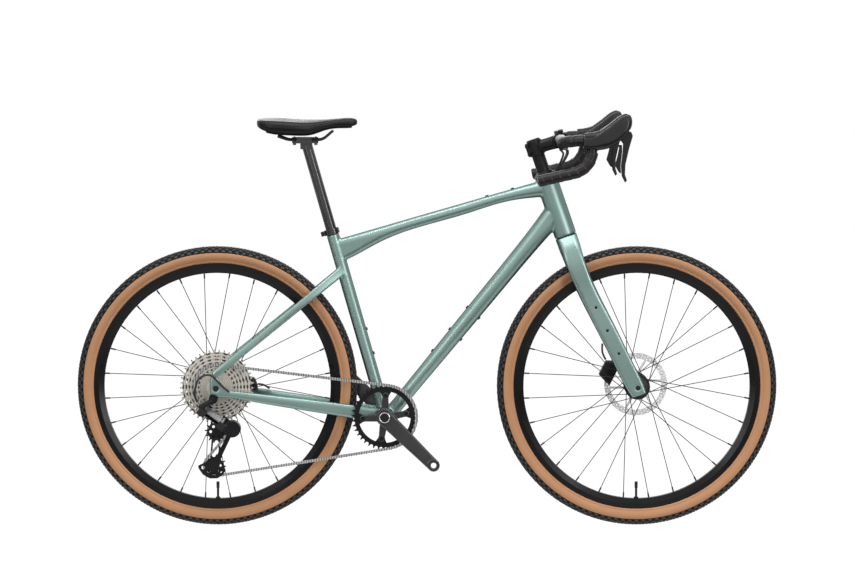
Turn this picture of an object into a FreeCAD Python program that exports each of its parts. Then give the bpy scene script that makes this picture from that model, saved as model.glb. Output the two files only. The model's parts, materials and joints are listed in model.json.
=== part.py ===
import FreeCAD, Part
import math
import os
import Sketcher
from FreeCAD import Matrix, Placement, Rotation, Vector

document = FreeCAD.newDocument("gravel_bike")
sheet = document.addObject("Spreadsheet::Sheet", "Sizes")

# Driving sizes in millimetres and degrees.
SIZES = [
    # stance
    ("wheelbase", 1063.0), ("chainstay_length", 431.0), ("bottom_bracket_drop", 74.5),
    ("seat_angle", 74.0), ("head_angle", 71.0), ("fork_rake", 47.0), ("fork_length", 418.6),
    # wheels
    ("tyre_radius", 355.5), ("tyre_width", 45.0), ("tyre_wall", 2.4),
    ("rim_outer_radius", 315.0), ("rim_inner_radius", 287.0), ("rim_width", 27.5), ("rim_wall", 2.8),
    ("spoke_radius", 1.0), ("spokes_per_side", 14), ("flange_radius", 32.0), ("flange_inset", 3.0),
    ("axle_radius", 6.0), ("sleeve_radius", 8.5), ("bearing_radius", 13.0), ("running_gap", 0.05),
    ("front_drop_width", 100.0), ("rear_drop_width", 142.0), ("rotor_radius", 80.0),
    ("rotor_thickness", 1.8), ("front_rotor_setback", 10.5), ("rear_rotor_setback", 15.5),
    # frame tubes
    ("head_tube_length", 155.0), ("head_tube_radius", 28.0), ("headset_gap", 1.5),
    ("seat_tube_length", 478.0), ("seat_tube_radius", 15.9), ("tube_wall", 2.2),
    ("top_tube_seat", 462.0), ("top_tube_head", 152.0), ("top_tube_depth", 27.0), ("top_tube_width", 38.0),
    ("down_tube_head", 68.0), ("down_tube_depth", 41.0), ("down_tube_width", 46.0),
    ("shell_radius", 21.5), ("shell_width", 68.0), ("stay_seat", 384.0), ("stay_depth", 21.0),
    ("chainstay_depth", 33.0), ("dropout_thickness", 8.0), ("bolt_head_radius", 4.2),
    # seat
    ("post_radius", 13.6), ("post_exposed", 221.0), ("post_inside", 130.0), ("collar_height", 14.0),
    ("saddle_length", 252.0), ("saddle_width", 144.0), ("rail_radius", 3.5), ("rail_spacing", 44.0),
    # steering
    ("steerer_radius", 14.3), ("cover_height", 15.0), ("spacer_stack", 44.0), ("spacer_radius", 16.5),
    ("stem_height", 38.0), ("stem_length", 65.0), ("stem_drop_angle", 2.0), ("bar_clamp_radius", 15.9),
    ("bar_radius", 11.9), ("bar_width", 426.0), ("bar_flare", 17.0), ("tape_thickness", 2.9),
    ("leg_width", 46.0), ("hose_radius", 2.6),
    # drive
    ("crank_length", 172.5), ("crank_angle", 44.3), ("spindle_radius", 12.0), ("ring_teeth", 40),
    ("chain_pitch", 12.7), ("chain_line", 49.5), ("cog_spacing", 3.65), ("largest_cog_inset", 24.0),
    ("pulley_teeth", 13), ("sprocket_thickness", 1.35), ("roller_radius", 3.85),
]
for row, (alias, value) in enumerate(SIZES, start=1):
    sheet.set("A%d" % row, alias)
    sheet.set("B%d" % row, str(value))
    sheet.setAlias("B%d" % row, alias)
document.recompute()

NODES = []
UP = Vector(0, 0, 1)
LEFT = Vector(0, 1, 0)
FORWARD = Vector(1, 0, 0)


def size(alias):
    return float(sheet.get(alias))


def number(text):
    found = sheet.evalExpression(text)
    return float(getattr(found, "Value", found))


def node(label, pieces):
    """One exported sub-part: a single piece or a group of pieces that move together."""
    if len(pieces) == 1:
        part = pieces[0]
    else:
        part = document.addObject("Part::Compound", label)
        part.Links = pieces
    part.Label = label
    NODES.append(part)
    return part


def shaped(label, shape):
    """A piece whose form is set from curves and surfaces worked out from the sizes."""
    piece = document.addObject("Part::Feature", label)
    piece.Shape = shape
    return piece


def rod(label, radius, length, base, direction):
    """Round bar whose radius and length are expressions of the sizes."""
    piece = document.addObject("Part::Cylinder", label)
    piece.setExpression("Radius", radius)
    piece.setExpression("Height", length)
    piece.Placement = Placement(base, Rotation(UP, direction))
    return piece


def bound_outline(body, role, corners):
    """Closed outline on an origin plane, each corner held by two expressions of the sizes."""
    sketch = body.newObject("Sketcher::SketchObject", "Outline")
    plane = [datum for datum in body.Origin.OriginFeatures if datum.Role == role][0]
    sketch.AttachmentSupport = [(plane, "")]
    sketch.MapMode = "FlatFace"
    spots = [Vector(number(across), number(along), 0) for across, along in corners]
    count = len(spots)
    for place in range(count):
        sketch.addGeometry(Part.LineSegment(spots[place], spots[(place + 1) % count]))
    for place in range(count):
        sketch.addConstraint(Sketcher.Constraint("Coincident", place, 2, (place + 1) % count, 1))
    for place, corner in enumerate(corners):
        for kind, text in zip(("DistanceX", "DistanceY"), corner):
            held = sketch.addConstraint(Sketcher.Constraint(kind, -1, 1, place, 1, number(text)))
            sketch.setExpression("Constraints[%d]" % held, text)
    return sketch


def turned(label, role, corners, placement):
    """Body turned about the upright axis of its sketch plane."""
    body = document.addObject("PartDesign::Body", label)
    sketch = bound_outline(body, role, corners)
    turn = body.newObject("PartDesign::Revolution", "Turn")
    turn.Profile = sketch
    turn.ReferenceAxis = (sketch, ["V_Axis"])
    turn.Angle = 360
    body.Tip = turn
    body.Placement = placement
    return body


def wheel_turned(label, centre, corners):
    return turned(label, "XY_Plane", corners, Placement(centre, Rotation()))


def column_turned(label, placement, corners):
    return turned(label, "XZ_Plane", corners, placement)


def rounded_section(centre, across, upward, width, height, roundness=0.9):
    """Rounded rectangle wire in the plane of two unit directions."""
    corner = roundness * min(width, height) / 2
    flat_across = width / 2 - corner
    flat_up = height / 2 - corner
    diagonal = corner * math.sqrt(0.5)

    def spot(sideways, lift):
        return centre + across * sideways + upward * lift

    edges = []
    for sign_across, sign_up, start_across in ((1, 1, True), (-1, 1, False), (-1, -1, True), (1, -1, False)):
        hub_across = sign_across * flat_across
        hub_up = sign_up * flat_up
        side_spot = spot(hub_across + sign_across * corner, hub_up)
        top_spot = spot(hub_across, hub_up + sign_up * corner)
        middle = spot(hub_across + sign_across * diagonal, hub_up + sign_up * diagonal)
        ends = (side_spot, top_spot) if start_across else (top_spot, side_spot)
        edges.append((ends[0], middle, ends[1]))
    wire = []
    for place in range(4):
        first, middle, last = edges[place]
        following = edges[(place + 1) % 4][0]
        wire.append(Part.Arc(first, middle, last).toShape())
        wire.append(Part.LineSegment(last, following).toShape())
    return Part.Wire(wire)


def lofted(sections):
    solid = Part.makeLoft(sections, True, False)
    if solid.Volume < 0:
        solid.reverse()
    return solid


def path_wire(points, radii):
    """Straight runs joined by tangent arcs of the given radii at the inner points."""
    edges = []
    start = points[0]
    for place in range(1, len(points) - 1):
        corner = points[place]
        incoming = (corner - points[place - 1]).normalize()
        outgoing = (points[place + 1] - corner).normalize()
        turn = incoming.getAngle(outgoing)
        reach = radii[place - 1] * math.tan(turn / 2)
        first = corner - incoming * reach
        last = corner + outgoing * reach
        bisector = (outgoing - incoming).normalize()
        to_centre = radii[place - 1] / math.cos(turn / 2)
        middle = corner + bisector * (to_centre - radii[place - 1])
        if (first - start).Length > 0.01:
            edges.append(Part.LineSegment(start, first).toShape())
        edges.append(Part.Arc(first, middle, last).toShape())
        start = last
    edges.append(Part.LineSegment(start, points[-1]).toShape())
    return Part.Wire(edges)


def easy_radii(points):
    """Arc radii as large as the shorter run beside each inner point allows."""
    radii = []
    for place in range(1, len(points) - 1):
        incoming = points[place] - points[place - 1]
        outgoing = points[place + 1] - points[place]
        turn = incoming.getAngle(outgoing)
        radii.append(0.45 * min(incoming.Length, outgoing.Length) / math.tan(turn / 2))
    return radii


def pipe(wire, radius):
    start = wire.OrderedVertexes[0].Point
    first_edge = wire.OrderedEdges[0]
    parameter = first_edge.FirstParameter
    if (first_edge.valueAt(parameter) - start).Length > 0.01:
        parameter = first_edge.LastParameter
    towards = first_edge.tangentAt(parameter)
    ring = Part.Wire([Part.Circle(start, towards, radius).toShape()])
    return wire.makePipeShell([ring], True, False)


def cylinder(radius, length, base, direction):
    return Part.makeCylinder(radius, length, base, direction)


def tube(outer, inner, length, base, direction):
    return cylinder(outer, length, base, direction).cut(cylinder(inner, length, base, direction))


def block(low, high):
    spans = high - low
    return Part.makeBox(spans.x, spans.y, spans.z, low)


def plate(points, depth):
    """Flat plate from side-view corner points, carried along the vector depth."""
    return Part.Face(Part.makePolygon(points + [points[0]])).extrude(depth)


def mirrored(shape):
    return shape.mirror(Vector(0, 0, 0), LEFT)


# Main points of the bike: ground at zero, mid wheelbase at zero, drive side towards minus Y.
half_base = size("wheelbase") / 2
axle_height = size("tyre_radius")
rear_axle_spot = Vector(-half_base, 0, axle_height)
front_axle_spot = Vector(half_base, 0, axle_height)
bracket_reach = math.sqrt(size("chainstay_length") ** 2 - size("bottom_bracket_drop") ** 2)
bracket = rear_axle_spot + Vector(bracket_reach, 0, -size("bottom_bracket_drop"))
head_lean = math.radians(size("head_angle"))
steer_up = Vector(-math.cos(head_lean), 0, math.sin(head_lean))
steer_ahead = Vector(math.sin(head_lean), 0, math.cos(head_lean))
crown = front_axle_spot - steer_ahead * size("fork_rake") + steer_up * size("fork_length")
steering = Placement(crown, Rotation(LEFT, size("head_angle") - 90))
seat_lean = math.radians(size("seat_angle"))
seat_up = Vector(-math.cos(seat_lean), 0, math.sin(seat_lean))
seat_ahead = Vector(math.sin(seat_lean), 0, math.cos(seat_lean))
seating = Placement(bracket, Rotation(LEFT, size("seat_angle") - 90))
gap = size("running_gap")


def steer_spot(ahead, side, up):
    return crown + steer_ahead * ahead + LEFT * side + steer_up * up


def seat_spot(ahead, side, up):
    return bracket + seat_ahead * ahead + LEFT * side + seat_up * up


# Head tube with a bearing seat at each end, and its two bearings.
head_low = "Sizes.headset_gap"
head_high = "Sizes.headset_gap+Sizes.head_tube_length"
bearing_depth = 8.0
bearing_step = 2.0
head_tube = column_turned("head_tube", steering, [
    ("Sizes.head_tube_radius-%s" % bearing_step, head_low),
    ("Sizes.head_tube_radius", head_low),
    ("Sizes.head_tube_radius", head_high),
    ("Sizes.head_tube_radius-%s" % bearing_step, head_high),
    ("Sizes.head_tube_radius-%s" % bearing_step, "%s-%s" % (head_high, bearing_depth)),
    ("Sizes.head_tube_radius-2*%s" % bearing_step, "%s-%s" % (head_high, bearing_depth)),
    ("Sizes.head_tube_radius-2*%s" % bearing_step, "%s+%s" % (head_low, bearing_depth)),
    ("Sizes.head_tube_radius-%s" % bearing_step, "%s+%s" % (head_low, bearing_depth)),
])
race_radius = "Sizes.steerer_radius+5.5"
bearings = []
for low, high in ((head_low, "%s+%s" % (head_low, bearing_depth - 0.2)),
                  ("%s-%s" % (head_high, bearing_depth - 0.2), head_high)):
    bearings.append(column_turned("headset_bearing", steering, [
        (race_radius, low), ("Sizes.head_tube_radius-%s-0.05" % bearing_step, low),
        ("Sizes.head_tube_radius-%s-0.05" % bearing_step, high), (race_radius, high)]))
node("head_tube", [head_tube])
node("headset_bearings", bearings)

# Bottom bracket shell and its two threaded cups with bearings.
cup_bore = "Sizes.spindle_radius+Sizes.running_gap"
shell_wall = 4.0
bracket_shell = wheel_turned("bottom_bracket_shell", bracket, [
    ("Sizes.shell_radius-%s" % shell_wall, "-Sizes.shell_width/2"),
    ("Sizes.shell_radius", "-Sizes.shell_width/2"),
    ("Sizes.shell_radius", "Sizes.shell_width/2"),
    ("Sizes.shell_radius-%s" % shell_wall, "Sizes.shell_width/2")])
cup_flange = 10.0
cup_thread = 14.0
cups = []
for side in ("-", ""):
    face = "%s(Sizes.shell_width/2+0.05)" % side
    outer = "%s(Sizes.shell_width/2+%s)" % (side, cup_flange)
    inner = "%s(Sizes.shell_width/2-%s)" % (side, cup_thread)
    cups.append(wheel_turned("bottom_bracket_cup", bracket, [
        (cup_bore, inner), ("Sizes.shell_radius-%s-0.05" % shell_wall, inner),
        ("Sizes.shell_radius-%s-0.05" % shell_wall, face), ("Sizes.shell_radius-0.5", face),
        ("Sizes.shell_radius-0.5", outer), (cup_bore, outer)]))
node("bottom_bracket_shell", [bracket_shell])
node("bottom_bracket_cups", cups)

# Solid envelopes that the joining tubes are cut back to.
head_envelope = cylinder(size("head_tube_radius"), size("head_tube_length") + size("headset_gap"), crown,
                         steer_up)
shell_envelope = cylinder(size("shell_radius"), size("shell_width"),
                          bracket - LEFT * (size("shell_width") / 2), LEFT)
seat_envelope = cylinder(size("seat_tube_radius"), size("seat_tube_length"), bracket, seat_up)

# Seat tube: a round tube from the bottom bracket shell to the collar.
seat_tube_shape = seat_envelope.cut(shell_envelope)
seat_tube_shape = seat_tube_shape.cut(
    cylinder(size("post_radius") + gap, size("seat_tube_length"), bracket, seat_up))
node("seat_tube", [shaped("seat_tube", seat_tube_shape)])


def hollow_tube(start, end, stations, trims):
    """Shaped tube between two points; stations are fraction, drop of centre, width and depth."""
    along = (end - start).normalize()
    upward = along.cross(LEFT)
    span = (end - start).Length
    wall = size("tube_wall")
    outside = []
    inside = []
    for fraction, drop, width, depth in stations:
        centre = start + along * (span * fraction) - upward * drop
        outside.append(rounded_section(centre, LEFT, upward, width, depth))
        inside.append(rounded_section(centre, LEFT, upward, width - 2 * wall, depth - 2 * wall))
    outer = lofted(outside)
    for trim in trims:
        outer = outer.cut(trim)
    return outer.cut(lofted(inside))


# Top tube: flattened, deep where it meets the seat tube and the head tube.
top_rear = seat_spot(0, 0, size("top_tube_seat"))
top_front = steer_spot(0, 0, size("top_tube_head"))
top_depth = size("top_tube_depth")
top_width = size("top_tube_width")
top_form = [(0.0, 2.07, 0.68), (0.064, 1.95, 0.74), (0.18, 1.42, 0.86), (0.27, 1.13, 0.95),
            (0.5, 1.03, 1.0), (0.69, 0.97, 1.0), (0.80, 0.98, 1.02), (0.95, 1.45, 1.08), (1.0, 1.6, 1.1)]
top_stations = [(fraction, deep * top_depth / 2, wide * top_width, deep * top_depth)
                for fraction, deep, wide in top_form]
top_tube_shape = hollow_tube(top_rear, top_front, top_stations, [seat_envelope, head_envelope])
node("top_tube", [shaped("top_tube", top_tube_shape)])

# Down tube: deeper towards the head tube, passing just ahead of the bottom bracket.
down_top = steer_spot(0, 0, size("down_tube_head"))
bracket_offset = 8.0
down_slope = (down_top - bracket).normalize()
down_low = bracket + Vector(down_slope.z, 0, -down_slope.x) * bracket_offset
down_depth = size("down_tube_depth")
down_width = size("down_tube_width")
down_form = [(0.0, 0.83, 0.78), (0.15, 0.84, 0.86), (0.45, 0.96, 1.0), (0.7, 1.03, 1.04),
             (0.85, 1.12, 1.0), (1.0, 1.42, 0.95)]
down_stations = [(fraction, 0, wide * down_width, deep * down_depth) for fraction, deep, wide in down_form]
down_tube_shape = hollow_tube(down_low, down_top, down_stations,
                              [shell_envelope, seat_envelope, head_envelope])
node("down_tube", [shaped("down_tube", down_tube_shape)])

# Dropouts: plates about the rear axle that the stay ends butt against.
drop_inner = size("rear_drop_width") / 2
drop_outer = drop_inner + size("dropout_thickness")
drop_middle = (drop_inner + drop_outer) / 2
stay_top = seat_spot(0, 0, size("stay_seat"))
seatstay_foot = rear_axle_spot + Vector(-1.5, 0, 36)
seatstay_along = (seatstay_foot - stay_top).normalize()
seatstay_across = Vector(-seatstay_along.z, 0, seatstay_along.x) * -1
foot_half = size("stay_depth") * 0.46
chainstay_foot = rear_axle_spot + Vector(34, 0, -14)
chain_foot_half = size("chainstay_depth") * 0.27
drop_corners = [
    rear_axle_spot + Vector(-14, 0, -15),
    rear_axle_spot + Vector(-15.5, 0, 18),
    seatstay_foot + seatstay_across * foot_half,
    seatstay_foot - seatstay_across * foot_half,
    rear_axle_spot + Vector(15, 0, 11),
    rear_axle_spot + Vector(23, 0, -1),
    chainstay_foot + UP * chain_foot_half,
    chainstay_foot - UP * chain_foot_half,
    rear_axle_spot + Vector(6, 0, -22),
]
dropout_solid = plate([corner - LEFT * drop_outer for corner in drop_corners],
                      LEFT * size("dropout_thickness"))
axle_drill = cylinder(size("axle_radius") + gap, 2 * drop_outer + 20,
                      rear_axle_spot - LEFT * (drop_outer + 10), LEFT)
dropout_solid = dropout_solid.cut(axle_drill)
node("dropouts", [shaped("dropout_right", dropout_solid), shaped("dropout_left", mirrored(dropout_solid))])

# Chainstays: bowed around the tyre and past the chainring.
chain_depth = size("chainstay_depth")
chain_form = [(0.0, 26.0, 16.0, 1.0), (0.21, 36.5, 14.5, 1.04), (0.36, 42.5, 16.0, 0.98),
              (0.76, 63.5, 16.0, 0.76), (0.93, drop_middle - 1.5, 10.0, 0.6),
              (1.0, drop_middle, size("dropout_thickness"), 0.54)]
chain_sections = []
for fraction, outward, width, deep in chain_form:
    centre = bracket + (chainstay_foot - bracket) * fraction - LEFT * outward
    chain_sections.append(rounded_section(centre, LEFT, UP, width, deep * chain_depth))
cup_envelope = cylinder(size("shell_radius"), 30, bracket - LEFT * (size("shell_width") / 2 + 30), LEFT)
chainstay_solid = lofted(chain_sections).cut(shell_envelope).cut(seat_envelope).cut(cup_envelope)
chainstay_pieces = [shaped("chainstay_right", chainstay_solid),
                    shaped("chainstay_left", mirrored(chainstay_solid))]
node("chainstays", chainstay_pieces)

# Seatstays: dropped stays that spread around the tyre.
stay_depth = size("stay_depth")
stay_form = [(0.0, 10.0, 12.0, 1.1), (0.08, 20.0, 13.0, 1.08), (0.2, 36.0, 13.0, 1.02),
             (0.45, 48.0, 12.5, 0.98), (0.75, 64.0, 12.0, 0.94),
             (0.95, drop_middle - 0.5, 9.0, 0.92), (1.0, drop_middle, size("dropout_thickness"), 0.92)]
stay_sections = []
for fraction, outward, width, deep in stay_form:
    centre = stay_top + (seatstay_foot - stay_top) * fraction - LEFT * outward
    stay_sections.append(rounded_section(centre, LEFT, seatstay_across, width, deep * stay_depth))
seatstay_solid = lofted(stay_sections).cut(seat_envelope)
node("seatstays", [shaped("seatstay_right", seatstay_solid),
                   shaped("seatstay_left", mirrored(seatstay_solid))])

# Seat collar: a split ring with a rear bolt lug.
collar_low = size("seat_tube_length") + 0.1
collar_inner = size("post_radius") + gap
collar_outer = size("seat_tube_radius") + 3.2
collar_ring = tube(collar_outer, collar_inner, size("collar_height"), seat_spot(0, 0, collar_low), seat_up)
lug = Part.makeBox(15, 17, size("collar_height") - 2, Vector(-collar_outer - 9, -8.5, collar_low + 1))
lug.Placement = seating.multiply(lug.Placement)
collar_shape = collar_ring.fuse(lug)
collar_shape = collar_shape.cut(cylinder(collar_inner, size("collar_height"), seat_spot(0, 0, collar_low),
                                         seat_up))
slit = Part.makeBox(20, 1.6, size("collar_height") + 2, Vector(-collar_outer - 10, -0.8, collar_low - 1))
slit.Placement = seating.multiply(slit.Placement)
collar_shape = collar_shape.cut(slit)
bolt_up = collar_low + size("collar_height") / 2
collar_shape = collar_shape.cut(cylinder(2.6, 40, seat_spot(-collar_outer - 4.5, -20, bolt_up), LEFT))
node("seat_collar", [shaped("seat_collar", collar_shape)])

# Frame bolts: the collar bolt and the small button bolts of the bottle, bag and rack eyelets.
collar_bolt = cylinder(2.5, 22, seat_spot(-collar_outer - 4.5, -11, bolt_up), LEFT).fuse(
    cylinder(4.0, 3.0, seat_spot(-collar_outer - 4.5, -11.6, bolt_up), LEFT * -1))
frame_bolts = [shaped("collar_bolt", collar_bolt)]
bolt_height = 2.6
bolt_stand = 0.15
for distance in (160.0, 224.0):
    frame_bolts.append(rod("seat_tube_bolt", "Sizes.bolt_head_radius", str(bolt_height),
                           seat_spot(size("seat_tube_radius") + 0.1, 0, distance), seat_ahead))
down_span = (down_top - down_low).Length
down_normal = Vector(-down_slope.z, 0, down_slope.x)
top_along = (top_front - top_rear).normalize()
top_normal = Vector(-top_along.z, 0, top_along.x)


def seated_bolt(label, shape, through, outward):
    """Button bolt standing on the surface of a tube along an outward direction."""
    reach = shape.common(Part.makeLine(through, through + outward * 80)).BoundBox
    surface = Vector(*(reach.XMax if outward.x > 0 else reach.XMin, 0,
                       reach.ZMax if outward.z > 0 else reach.ZMin))
    return rod(label, "Sizes.bolt_head_radius", str(bolt_height), surface + outward * bolt_stand, outward)


for fraction in (0.30, 0.404, 0.508):
    spot = down_low + (down_top - down_low) * fraction
    frame_bolts.append(seated_bolt("down_tube_bolt", down_tube_shape, spot, down_normal))
for fraction in (0.40, 0.505):
    spot = down_low + (down_top - down_low) * fraction
    frame_bolts.append(seated_bolt("down_tube_under_bolt", down_tube_shape, spot, down_normal * -1))
for fraction in (0.72, 0.84):
    spot = top_rear + (top_front - top_rear) * fraction - top_normal * (top_depth / 2)
    frame_bolts.append(seated_bolt("top_tube_bolt", top_tube_shape, spot, top_normal))
node("frame_bolts", frame_bolts)


# Rims: hooked walls, bead ledges and an open well.
def rim(label, centre):
    half = "Sizes.rim_width/2"
    channel = "Sizes.rim_width/2-Sizes.rim_wall"
    ledge = "Sizes.rim_outer_radius-6.5"
    right_side = [
        ("Sizes.rim_inner_radius", "Sizes.rim_width/4"),
        ("Sizes.rim_inner_radius+13", half),
        ("Sizes.rim_outer_radius", half),
        ("Sizes.rim_outer_radius", channel),
        (ledge, channel),
        (ledge, "Sizes.rim_width/4"),
        (ledge + "-2.4", "Sizes.rim_width/4"),
        ("Sizes.rim_inner_radius+15", channel),
        ("Sizes.rim_inner_radius+3", "Sizes.rim_width/4-1.5"),
    ]
    left_side = [(across, "-(%s)" % along) for across, along in reversed(right_side)]
    return wheel_turned(label, centre, right_side + left_side)


# Tyres: round casing on the rim with a bead inside each hook.
def tyre(centre):
    middle = size("tyre_radius") - size("tyre_width") / 2
    bead_low = size("rim_outer_radius") - 6.3
    bead_high = size("rim_outer_radius") + 0.7
    bead_side = size("rim_width") / 2 - size("rim_wall") - 0.25
    bead_width = 3.0

    def flank(half, low, inset):
        bulge = ((middle - low) ** 2 + (half - inset) ** 2) / (2 * (half - inset))
        swing = math.atan2(middle - low, inset - half + bulge) / 2
        return Vector(middle - bulge * math.sin(swing), half - bulge + bulge * math.cos(swing), 0)

    def side(half, low, inset):
        return [Vector(bead_low, inset, 0), Vector(low, inset, 0), flank(half, low, inset),
                Vector(middle, half, 0)]

    def flipped(point):
        return Vector(point.x, -point.y, 0)

    edges = []
    for half, inset in ((size("tyre_width") / 2, bead_side),
                        (size("tyre_width") / 2 - size("tyre_wall"), bead_side - bead_width)):
        foot, shoulder, swell, equator = side(half, bead_high, inset)
        edges.append(Part.LineSegment(foot, shoulder).toShape())
        edges.append(Part.Arc(shoulder, swell, equator).toShape())
        edges.append(Part.Arc(equator, Vector(middle + half, 0, 0), flipped(equator)).toShape())
        edges.append(Part.Arc(flipped(equator), flipped(swell), flipped(shoulder)).toShape())
        edges.append(Part.LineSegment(flipped(shoulder), flipped(foot)).toShape())
    for sign in (1, -1):
        outer_foot = Vector(bead_low, sign * bead_side, 0)
        inner_foot = Vector(bead_low, sign * (bead_side - bead_width), 0)
        edges.append(Part.LineSegment(outer_foot, inner_foot).toShape())
    outline = Part.Wire(Part.__sortEdges__(edges))
    solid = Part.Face(outline).revolve(Vector(0, 0, 0), LEFT, 360)
    solid.translate(centre)
    return solid


# Spokes: two-cross lacing, each a straight wire with an elbow, a head and a nipple.
def around(angle, radius, side):
    return Vector(radius * math.sin(angle), side, radius * math.cos(angle))


def flange_angles(side_sign):
    step = 2 * math.pi / size("spokes_per_side")
    return [step * place + side_sign * step / 4 for place in range(int(size("spokes_per_side")))]


flange_half = 1.5
elbow_gap = 0.15
lacing_gap = 1.2


def spokes(centre, flanges):
    hole_radius = size("flange_radius") - size("flange_inset")
    wire = size("spoke_radius")
    step = 2 * math.pi / size("spokes_per_side")
    solids = []
    for side_sign, flange_side in zip((-1, 1), flanges):
        for place, angle in enumerate(flange_angles(side_sign)):
            lean = 1 if place % 2 == 0 else -1
            lay = flange_side + lean * (flange_half + wire + lacing_gap)
            far = flange_side - lean * (flange_half + elbow_gap)
            start = around(angle, hole_radius, lay)
            nipple_end = around(angle + lean * 2 * step, size("rim_inner_radius") - 0.25, side_sign * 3.0)
            direction = (nipple_end - start).normalize()
            length = (nipple_end - start).Length
            nipple_length = 12.0
            straight = cylinder(wire, length - nipple_length + 1, start, direction)
            elbow = cylinder(wire, abs(far - lay), start, LEFT * (-lean))
            head = cylinder(wire * 1.8, 1.0, around(angle, hole_radius, far), LEFT * (-lean))
            bend = Part.makeSphere(wire, start)
            nipple = cylinder(wire * 2, nipple_length, nipple_end - direction * (nipple_length + 0.35),
                              direction)
            solids.append(straight.multiFuse([elbow, head, bend, nipple]))
    group = Part.makeCompound(solids)
    group.translate(centre)
    return group


def drilled_hub(label, body, centre, flanges):
    hole_radius = size("flange_radius") - size("flange_inset")
    drills = []
    for side_sign, flange_side in zip((-1, 1), flanges):
        for angle in flange_angles(side_sign):
            drills.append(cylinder(size("spoke_radius") + 0.3, 8,
                                   around(angle, hole_radius, flange_side - 4), LEFT))
    group = Part.makeCompound(drills)
    group.translate(centre)
    cut = document.addObject("Part::Cut", label)
    cut.Base = body
    cut.Tool = shaped(label + "_spoke_holes", group)
    return cut


# Rotors: braking band on six swept arms, held by a lock ring.
def rotor(centre, side):
    radius = size("rotor_radius")
    thick = size("rotor_thickness")
    base = Vector(0, side - thick / 2, 0)
    band = tube(radius, radius - 14.5, thick, base, LEFT)
    carrier = tube(24.0, 17.1, thick, base, LEFT)
    arms = []
    for place in range(6):
        arm = Part.makeBox(radius - 34, thick, 6, Vector(20, side - thick / 2, 6))
        arm.rotate(Vector(0, 0, 0), LEFT, 60 * place)
        arms.append(arm)
    solid = band.multiFuse([carrier] + arms)
    drills = []
    for ring, count, shift in ((radius - 4.0, 30, 0), (radius - 8.0, 30, 6), (radius - 11.5, 30, 0)):
        for place in range(count):
            angle = math.radians(360 / count * place + shift)
            drills.append(cylinder(1.5, 6, around(angle, ring, side - 3), LEFT))
    solid = solid.cut(Part.makeCompound(drills))
    solid.translate(centre)
    return solid


def valve(centre):
    inner = size("rim_inner_radius")
    top = Vector(0, 0, -inner + 0.3)
    nut = cylinder(6.0, 3.0, top, UP)
    stem = cylinder(3.0, 26.0, top, UP).fuse(nut)
    cap = cylinder(4.0, 16.0, top + UP * 26.05, UP)
    stem.translate(centre)
    cap.translate(centre)
    return [stem, cap]


seat_step = "Sizes.bearing_radius+Sizes.running_gap"
hub_bore = "Sizes.sleeve_radius+1.1"


def hub_body(label, centre, right_end, right_flange, left_flange, rotor_side, left_end):
    """Hub shell: bearing seats at the ends, two spoke flanges and a splined rotor seat."""
    flange = "Sizes.flange_radius"
    flange_root = "Sizes.flange_radius-Sizes.flange_inset-3"
    return wheel_turned(label, centre, [
        (seat_step, str(right_end)), ("Sizes.bearing_radius+3", str(right_end)),
        ("Sizes.bearing_radius+3", str(right_flange - 3)),
        (flange_root, str(right_flange - flange_half)), (flange, str(right_flange - flange_half)),
        (flange, str(right_flange + flange_half)), (flange_root, str(right_flange + flange_half)),
        ("Sizes.bearing_radius+4", str(right_flange + 5)), ("Sizes.bearing_radius+2", str(right_flange + 14)),
        ("Sizes.bearing_radius+2", str(left_flange - 12)), ("Sizes.bearing_radius+4", str(left_flange - 5)),
        (flange_root, str(left_flange - flange_half)), (flange, str(left_flange - flange_half)),
        (flange, str(left_flange + flange_half)), (flange_root, str(left_flange + flange_half)),
        ("Sizes.bearing_radius+7", str(left_flange + 4)), ("Sizes.bearing_radius+7", str(rotor_side - 1.1)),
        ("Sizes.bearing_radius+4", str(rotor_side - 1.1)), ("Sizes.bearing_radius+4", str(left_end)),
        (seat_step, str(left_end)), (seat_step, str(left_end - 7.2)), (hub_bore, str(left_end - 7.2)),
        (hub_bore, str(right_end + 7.2)), (seat_step, str(right_end + 7.2))])


def hub_bearing(centre, low, high):
    bore = "Sizes.sleeve_radius+Sizes.running_gap"
    return wheel_turned("hub_bearing", centre, [
        (bore, str(low)), ("Sizes.bearing_radius", str(low)), ("Sizes.bearing_radius", str(high)),
        (bore, str(high))])


def lock_ring(centre, side):
    start = side + size("rotor_thickness") / 2 + 0.1
    return wheel_turned("rotor_lock_ring", centre, [
        ("Sizes.bearing_radius+1", str(start)), ("Sizes.bearing_radius+8", str(start)),
        ("Sizes.bearing_radius+8", str(start + 2.6)), ("Sizes.bearing_radius+1", str(start + 2.6))])


def wheel(name, centre, right_end, flanges, rotor_side, left_end):
    shell = hub_body(name + "_hub_shell", centre, right_end, flanges[0], flanges[1], rotor_side, left_end)
    node(name + "_tyre", [shaped(name + "_tyre", tyre(centre))])
    node(name + "_rim", [rim(name + "_rim", centre)])
    node(name + "_spokes", [shaped(name + "_spokes", spokes(centre, flanges))])
    node(name + "_hub", [drilled_hub(name + "_hub_drilled", shell, centre, flanges),
                         hub_bearing(centre, right_end, right_end + 7),
                         hub_bearing(centre, left_end - 7, left_end)])
    disc = shaped(name + "_disc", rotor(centre, rotor_side))
    node(name + "_rotor", [disc, lock_ring(centre, rotor_side)])
    stem, cap = valve(centre)
    node(name + "_valve", [shaped(name + "_valve_stem", stem), shaped(name + "_valve_cap", cap)])


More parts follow.
